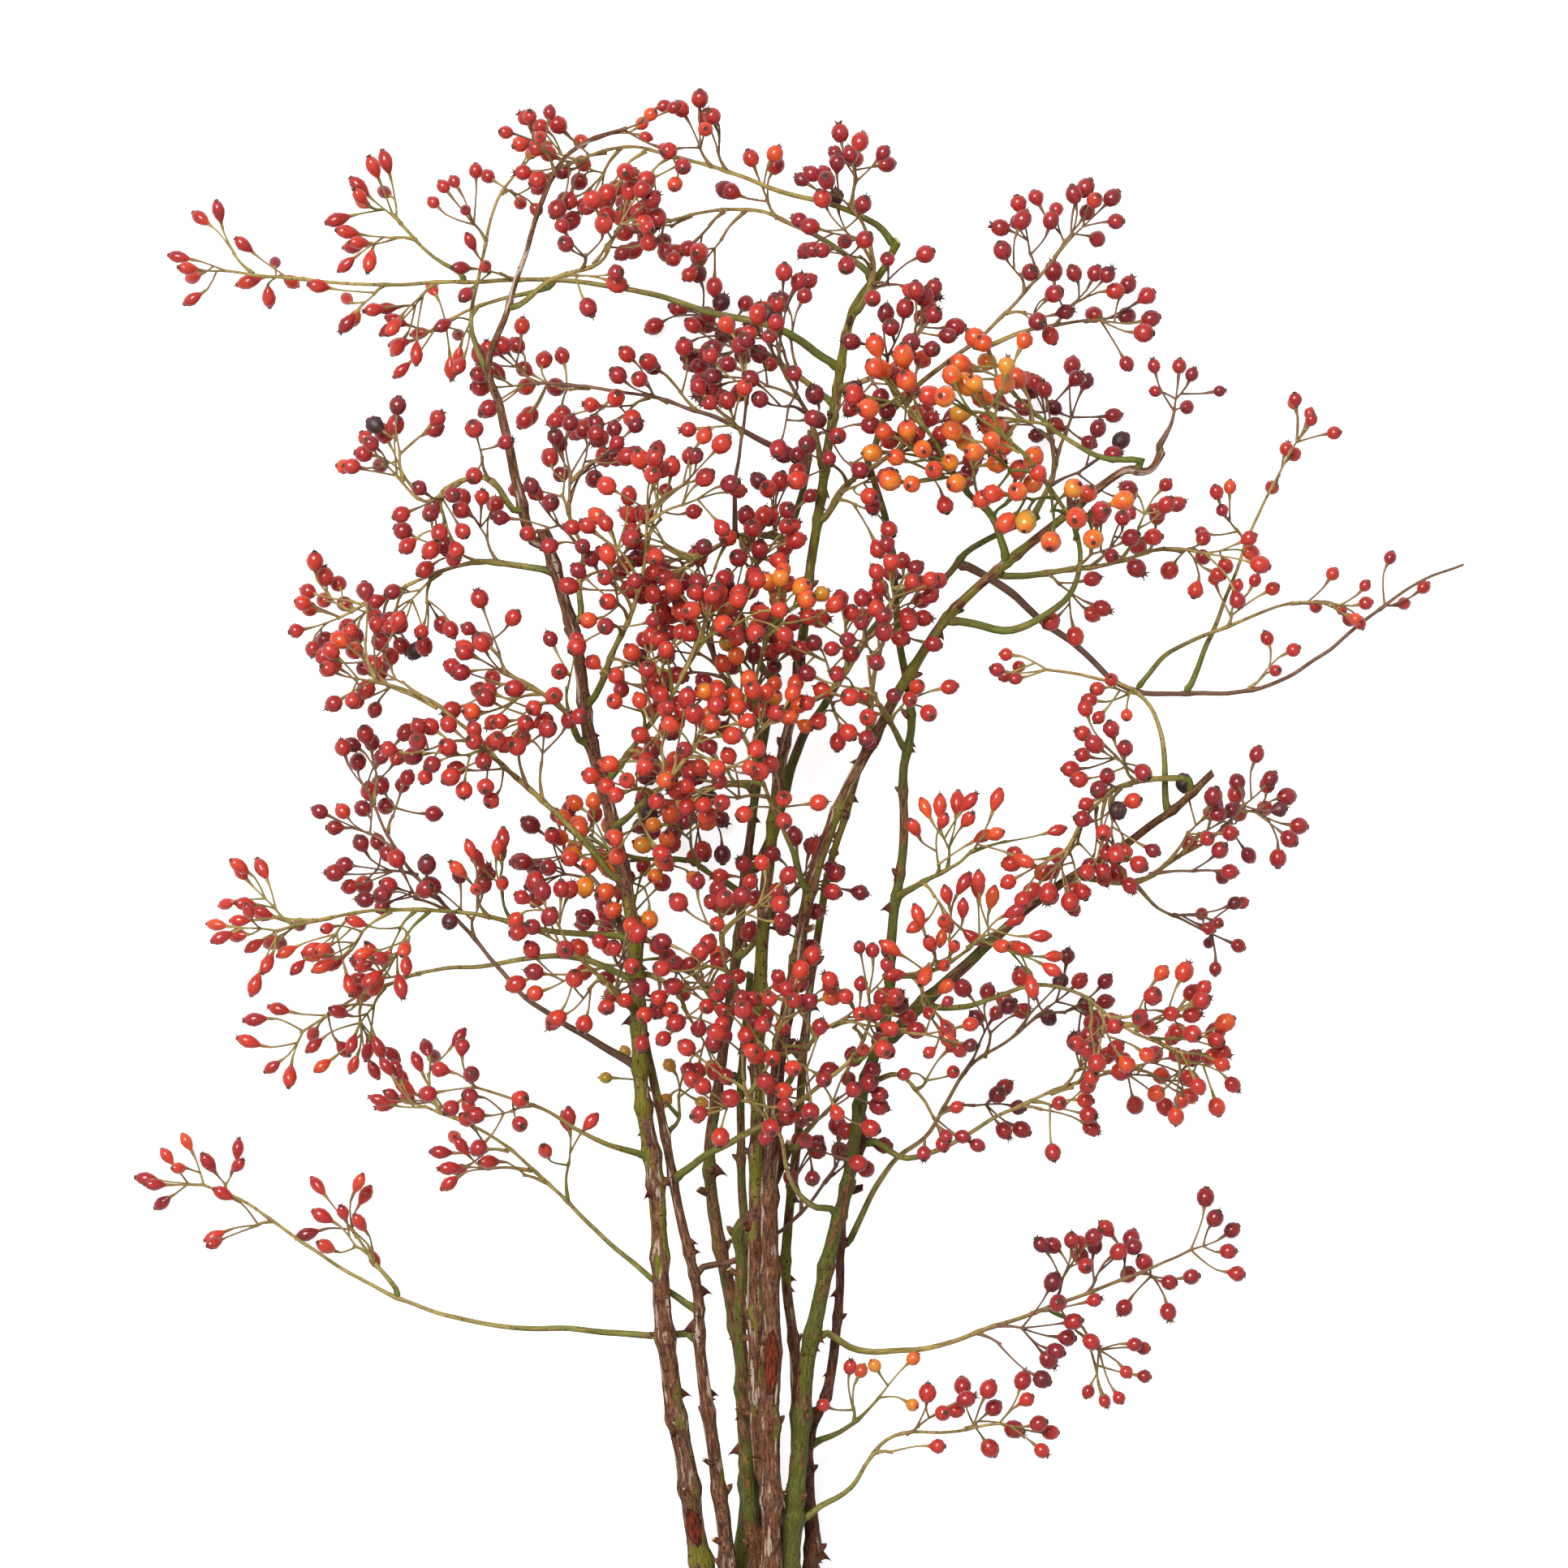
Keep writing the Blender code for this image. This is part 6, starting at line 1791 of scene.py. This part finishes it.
def stem_material():
    made, tree, shader = new_material("young stem")
    grain = tree.attribute("grain", "Vector")
    marks = marks_on(tree, grain, **YOUNG_STEM)
    drift = tree.noise(tree.stretched(grain, 0.5), 150.0)
    drift = tree.scaled(drift, -STEM_DRIFT, STEM_DRIFT)
    colour = tree.ramp(tree.math("ADD", tree.attribute("tint"), drift), STEM_COLOURS)
    for mark, least, most, tone in STEM_MARKS:
        colour = tree.blend(tree.scaled(marks[mark], least, most), colour, tone)
    tree.join(colour, shader.inputs["Base Color"])
    tree.join(tree.scaled(marks["Streaks"], 0.5, 0.68), shader.inputs["Roughness"])
    tree.join(tree.bump(marks["Height"], 0.6, 0.25), shader.inputs["Normal"])
    shader.inputs["Specular IOR Level"].default_value = 0.25
    return made


stem_finish = stem_material()
print("stem colours along the ramp:", len(STEM_COLOURS))

# %% [markdown]
# ## The skin of a hip
#
# A hip ripens from green-yellow through orange and scarlet to a dark wine red, and the last ones
# turn black. The whole crop can share one material when each hip carries its ripeness. A blush
# makes one side a little riper than the other, the skin is darker round the scar and paler at the
# stalk, and fine pale pores break up the gloss. The overripe ones shrivel, so wrinkles fade in
# at the dark end of the ramp.

# %% Hip skin material
RIPE_COLOURS = [(0.0, (168, 148, 52)), (0.13, (224, 138, 42)), (0.27, (220, 92, 40)),
                (0.43, (204, 62, 42)), (0.57, (176, 48, 42)), (0.73, (142, 39, 43)),
                (0.88, (102, 33, 38)), (1.0, (54, 31, 31))]
BLUSH, SPECKLE = (150.0, 1.0, 0.16), (900.0, 3.0, 0.14)  # patches to the metre, detail, strength
SCAR_SIDE, STALK_SIDE = 0.12, -0.10  # how much riper the skin is there
PORES, PORE_EDGE, PORE_COLOUR = 1500.0, (0.22, 0.08), paint(226, 120, 70)
WRINKLE_SCALE, SHRIVELLED = 520.0, (0.78, 0.98)


def skin_material():
    made, tree, shader = new_material("hip skin")
    place = tree.add("ShaderNodeTexCoord", {}).outputs["Object"]
    ripe = tree.attribute("ripe")
    rise = tree.attribute("rise")
    changes = [tree.scaled(tree.noise(place, scale, detail), -strength, strength)
               for scale, detail, strength in (BLUSH, SPECKLE)]
    changes.append(tree.scaled(tree.mask(rise, 0.82, 1.0), 0.0, SCAR_SIDE))
    changes.append(tree.scaled(tree.mask(rise, 0.16, 0.0), 0.0, STALK_SIDE))
    value = ripe
    for change in changes:
        value = tree.math("ADD", value, change)
    colour = tree.ramp(value, RIPE_COLOURS)
    pores = tree.add("ShaderNodeTexVoronoi", {"Vector": place, "Scale": PORES}).outputs["Distance"]
    pores = tree.scaled(tree.mask(pores, *PORE_EDGE), 0.0, 0.28)
    colour = tree.blend(pores, colour, PORE_COLOUR)
    wrinkles = tree.noise(place, WRINKLE_SCALE, 3.0)
    dry = tree.mask(ripe, *SHRIVELLED)
    tree.join(colour, shader.inputs["Base Color"])
    tree.join(tree.scaled(tree.math("ADD", dry, tree.scaled(wrinkles, -0.2, 0.2)), 0.14, 0.5),
              shader.inputs["Roughness"])
    rough = tree.math("MULTIPLY", wrinkles, tree.scaled(dry, 0.22, 1.0))
    tree.join(tree.bump(rough, 0.6, 0.5), shader.inputs["Normal"])
    shader.inputs["Specular IOR Level"].default_value = 0.62
    return made


skin_finish = skin_material()
print("ripeness colours:", len(RIPE_COLOURS))

# %% [markdown]
# ## Scars, thorns and cut wood
#
# These are the small dry parts. Each reads a value that was written on it when it was made: a scar
# how far each point is from its middle, a thorn how near it is to its tip, and a cut end how far it
# is from the pith. A ramp over that value gives a scar its dark ring and paler heart, a thorn its
# red foot and brown tip, and a cut its pith, pale wood and rim of bark.

# %% Dry finishes
def dry_material(name, value_of, stops, scale, rough, depth):
    """A matt finish whose colours follow a value on the piece, broken up by a fine grain."""
    made, tree, shader = new_material(name)
    grain = tree.noise(tree.add("ShaderNodeTexCoord", {}).outputs["Object"], scale, 3.0)
    value = tree.math("ADD", value_of(tree), tree.scaled(grain, -0.14, 0.14))
    tree.join(tree.ramp(value, stops), shader.inputs["Base Color"])
    tree.join(tree.scaled(grain, *rough), shader.inputs["Roughness"])
    tree.join(tree.bump(grain, 0.5, depth), shader.inputs["Normal"])
    shader.inputs["Specular IOR Level"].default_value = 0.2
    return made


scar_finish = dry_material(
    "flower scar", lambda tree: tree.attribute("core"),
    [(0.25, (140, 110, 88)), (0.50, (56, 36, 28)), (0.9, (116, 78, 60))],
    1800.0, (0.75, 0.95), 0.15)
thorn_finish = dry_material(
    "thorn", lambda tree: tree.attribute("rise"),
    [(0.0, (96, 62, 42)), (0.35, (92, 44, 30)), (0.9, (48, 26, 20))],
    1400.0, (0.4, 0.65), 0.15)
wood_finish = dry_material(
    "cut wood", lambda tree: tree.attribute("core"),
    [(0.05, (178, 140, 98)), (0.38, (226, 200, 150)), (0.80, (240, 224, 184)),
     (0.95, (112, 86, 54))],
    1600.0, (0.6, 0.85), 0.2)
finishes = {STEM: stem_finish, SKIN: skin_finish, SCAR: scar_finish, WOOD: wood_finish,
            THORN: thorn_finish}


def finish_of(finish, slot):
    """The material for a face's finish. Bark depends on which cane it grows on."""
    return barks[slot] if finish == BARK else finishes[finish]


print("finishes besides bark:", len(finishes))
pieces = {}
for name in dict.fromkeys(limb.piece for limb in limbs.values()):
    piece = Piece(name)
    for limb in stems:
        if limb.piece == name:
            add_stem(piece, limb)
    pieces[name] = piece.finish(slot_of[name])
faces = sum(len(made.data.polygons) for made in pieces.values())
print("pieces:", len(pieces), " faces:", faces)

# %% [markdown]
# ## The rubber band
#
# A florist's band is one loop that is wound three times. From outside it shows as three turns that
# lie side by side, straight from cane to cane and round only where they touch one. A ring with a
# small rounded section is spun once, and each of its points then moves out to where the tight band
# runs in that direction.

# %% Rubber band
rubber = dry_material(
    "tan rubber", lambda tree: tree.scaled(tree.noise(
        tree.add("ShaderNodeTexCoord", {}).outputs["Object"], 120.0), 0.2, 0.8),
    [(0.1, (168, 132, 88)), (0.9, (196, 162, 114))], 2600.0, (0.5, 0.7), 0.05)
TURNS_OF_BAND = 3
BAND_STEPS = 112
SECTION_SIDES = 8
TURN_WIDTH = BAND_WIDTH / TURNS_OF_BAND
TURN_GAP = 0.05  # air on each side of a turn
SQUARE = 0.6  # below 1, a turn's round section gets flatter sides
RING = 10  # the radius of the ring that is spun first
WANDER_OF_TURN = 0.09  # how far a turn strays sideways


def band_way(angle):
    """Where the inside of the tight band runs in a direction, and that direction."""
    way = Vector((math.cos(angle), 0.0, math.sin(angle)))
    widest = max(canes, key=lambda cane: cane.points[TIE_STEP].dot(way) + cane.radius(TIE_STEP))
    heart = widest.points[TIE_STEP]
    return Vector((heart.x, 0.0, heart.z)) + way * (widest.radius(TIE_STEP) + TOUCH_GAP), way


def band_piece():
    bm = bmesh.new()
    for number in range(TURNS_OF_BAND):
        start = len(bm.verts)
        middle = TIE_Y + (number - 1) * TURN_WIDTH
        section = bmesh.ops.create_circle(bm, segments=SECTION_SIDES, radius=1.0,
                                          matrix=Matrix.Translation((RING, 0, 0)))["verts"]
        loop = list(dict.fromkeys(edge for vert in section for edge in vert.link_edges))
        bmesh.ops.spin(bm, geom=section + loop, axis=(0, 1, 0), cent=(0, 0, 0), angle=math.tau,
                       steps=BAND_STEPS, use_merge=True)
        bm.verts.ensure_lookup_table()
        for vert in bm.verts[start:]:
            angle = math.atan2(vert.co.z, vert.co.x)
            inner, way = band_way(angle)
            depth = math.hypot(vert.co.x, vert.co.z) - RING
            wander = WANDER_OF_TURN * math.sin(angle * 2 + number * 1.7)
            across = math.copysign(abs(vert.co.y) ** SQUARE, vert.co.y) * (TURN_WIDTH / 2 - TURN_GAP)
            place = inner + way * BAND_THICK * (0.5 + 0.5 * depth)
            vert.co = in_frame(place + Vector((0.0, middle + across + wander, 0.0)))
    bmesh.ops.recalc_face_normals(bm, faces=bm.faces)
    for face in bm.faces:
        face.smooth = True
    made = into_scene("band_wound", mesh_from(bm, "band"))
    made.data.materials.append(rubber)
    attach(made, "root")
    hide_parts("band")
    return made


band = band_piece()
print("band faces:", len(band.data.polygons))

# %% [markdown]
# ## The table, the light and the camera
#
# The bunch lies on a plain white table under a soft white sky. One large lamp above the upper left
# corner gives each hip a bright side and a highlight. The table has a glow of its own, as a light
# table has, but only the camera sees it: if it lit the hips from below, they would look flat. The
# camera looks straight down from far away through a long lens, so that the high hips are hardly
# larger than the low ones.

# %% Table, light and camera
TABLE_SIZE = 30.0
TABLE_Z = -0.0003  # just below the bunch, so that the two don't coincide
SKY = 0.43
TABLE_GLOW = 0.75  # what the camera sees of the table's own light
PICTURE_WIDTH = 0.644
PICTURE_MIDDLE = Vector((0.0, 410.0, 75.0))
CAMERA_AWAY = 3.0
SENSOR = 36.0
LAMP_PLACE, LAMP_SIZE, LAMP_POWER = (-1.1, 1.5, 3.6), 1.9, 180.0
LAMP_AIM = Vector((0, 0.05, 0.05))

paper = dry_material(
    "white table", lambda tree: tree.scaled(tree.noise(
        tree.add("ShaderNodeTexCoord", {}).outputs["Object"], 6.0), 0.3, 0.7),
    [(0.0, (214, 214, 214)), (1.0, (220, 220, 220))], 900.0, (0.85, 0.95), 0.02)
paper_tree = Tree(paper.node_tree)
paper_sockets = paper.node_tree.nodes["Principled BSDF"].inputs
paper_sockets["Emission Color"].default_value = (1.0, 1.0, 1.0, 1.0)
seen = paper_tree.add("ShaderNodeLightPath", {}).outputs["Is Camera Ray"]
paper_tree.join(paper_tree.math("MULTIPLY", seen, TABLE_GLOW), paper_sockets["Emission Strength"])


bm = bmesh.new()
bmesh.ops.create_grid(bm, x_segments=1, y_segments=1, size=TABLE_SIZE / 2,
                      matrix=Matrix.Translation((0, 0, TABLE_Z)))
table = into_scene("table", mesh_from(bm, "table"))
table.data.materials.append(paper)
table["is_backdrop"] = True

light = bpy.data.lights.new("soft lamp", "AREA")
light.size, light.energy = LAMP_SIZE, LAMP_POWER
lamp = into_scene("soft lamp", light)
lamp.location = LAMP_PLACE
lamp.rotation_euler = (LAMP_AIM - Vector(LAMP_PLACE)).to_track_quat("-Z", "Y").to_euler()

world = bpy.data.worlds.new("white sky")
bpy.context.scene.world = world
world.use_nodes = True
world.node_tree.nodes["Background"].inputs["Color"].default_value = (1.0, 1.0, 1.0, 1.0)
world.node_tree.nodes["Background"].inputs["Strength"].default_value = SKY
lens = bpy.data.cameras.new("camera")
lens.sensor_width = SENSOR
lens.lens = SENSOR * CAMERA_AWAY / PICTURE_WIDTH
lens.clip_end = 100.0
camera = into_scene("camera", lens)
camera.location = in_frame(PICTURE_MIDDLE) + UP * CAMERA_AWAY
bpy.context.scene.camera = camera
bpy.context.scene.view_settings.view_transform = "Standard"
print("camera at", [round(x, 3) for x in camera.location], "with a lens of", round(lens.lens), "mm")

# %% [markdown]
# ## The last look
#
# The dressed bunch has to stay within the imported model's box. Its box is printed here, and the
# imported model's was printed when that model was loaded, so that the two can be compared.

# %% Sizes
visual_box = [list(corner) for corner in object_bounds()]
print("dressed bunch:", [[round(x, 3) for x in corner] for corner in visual_box])
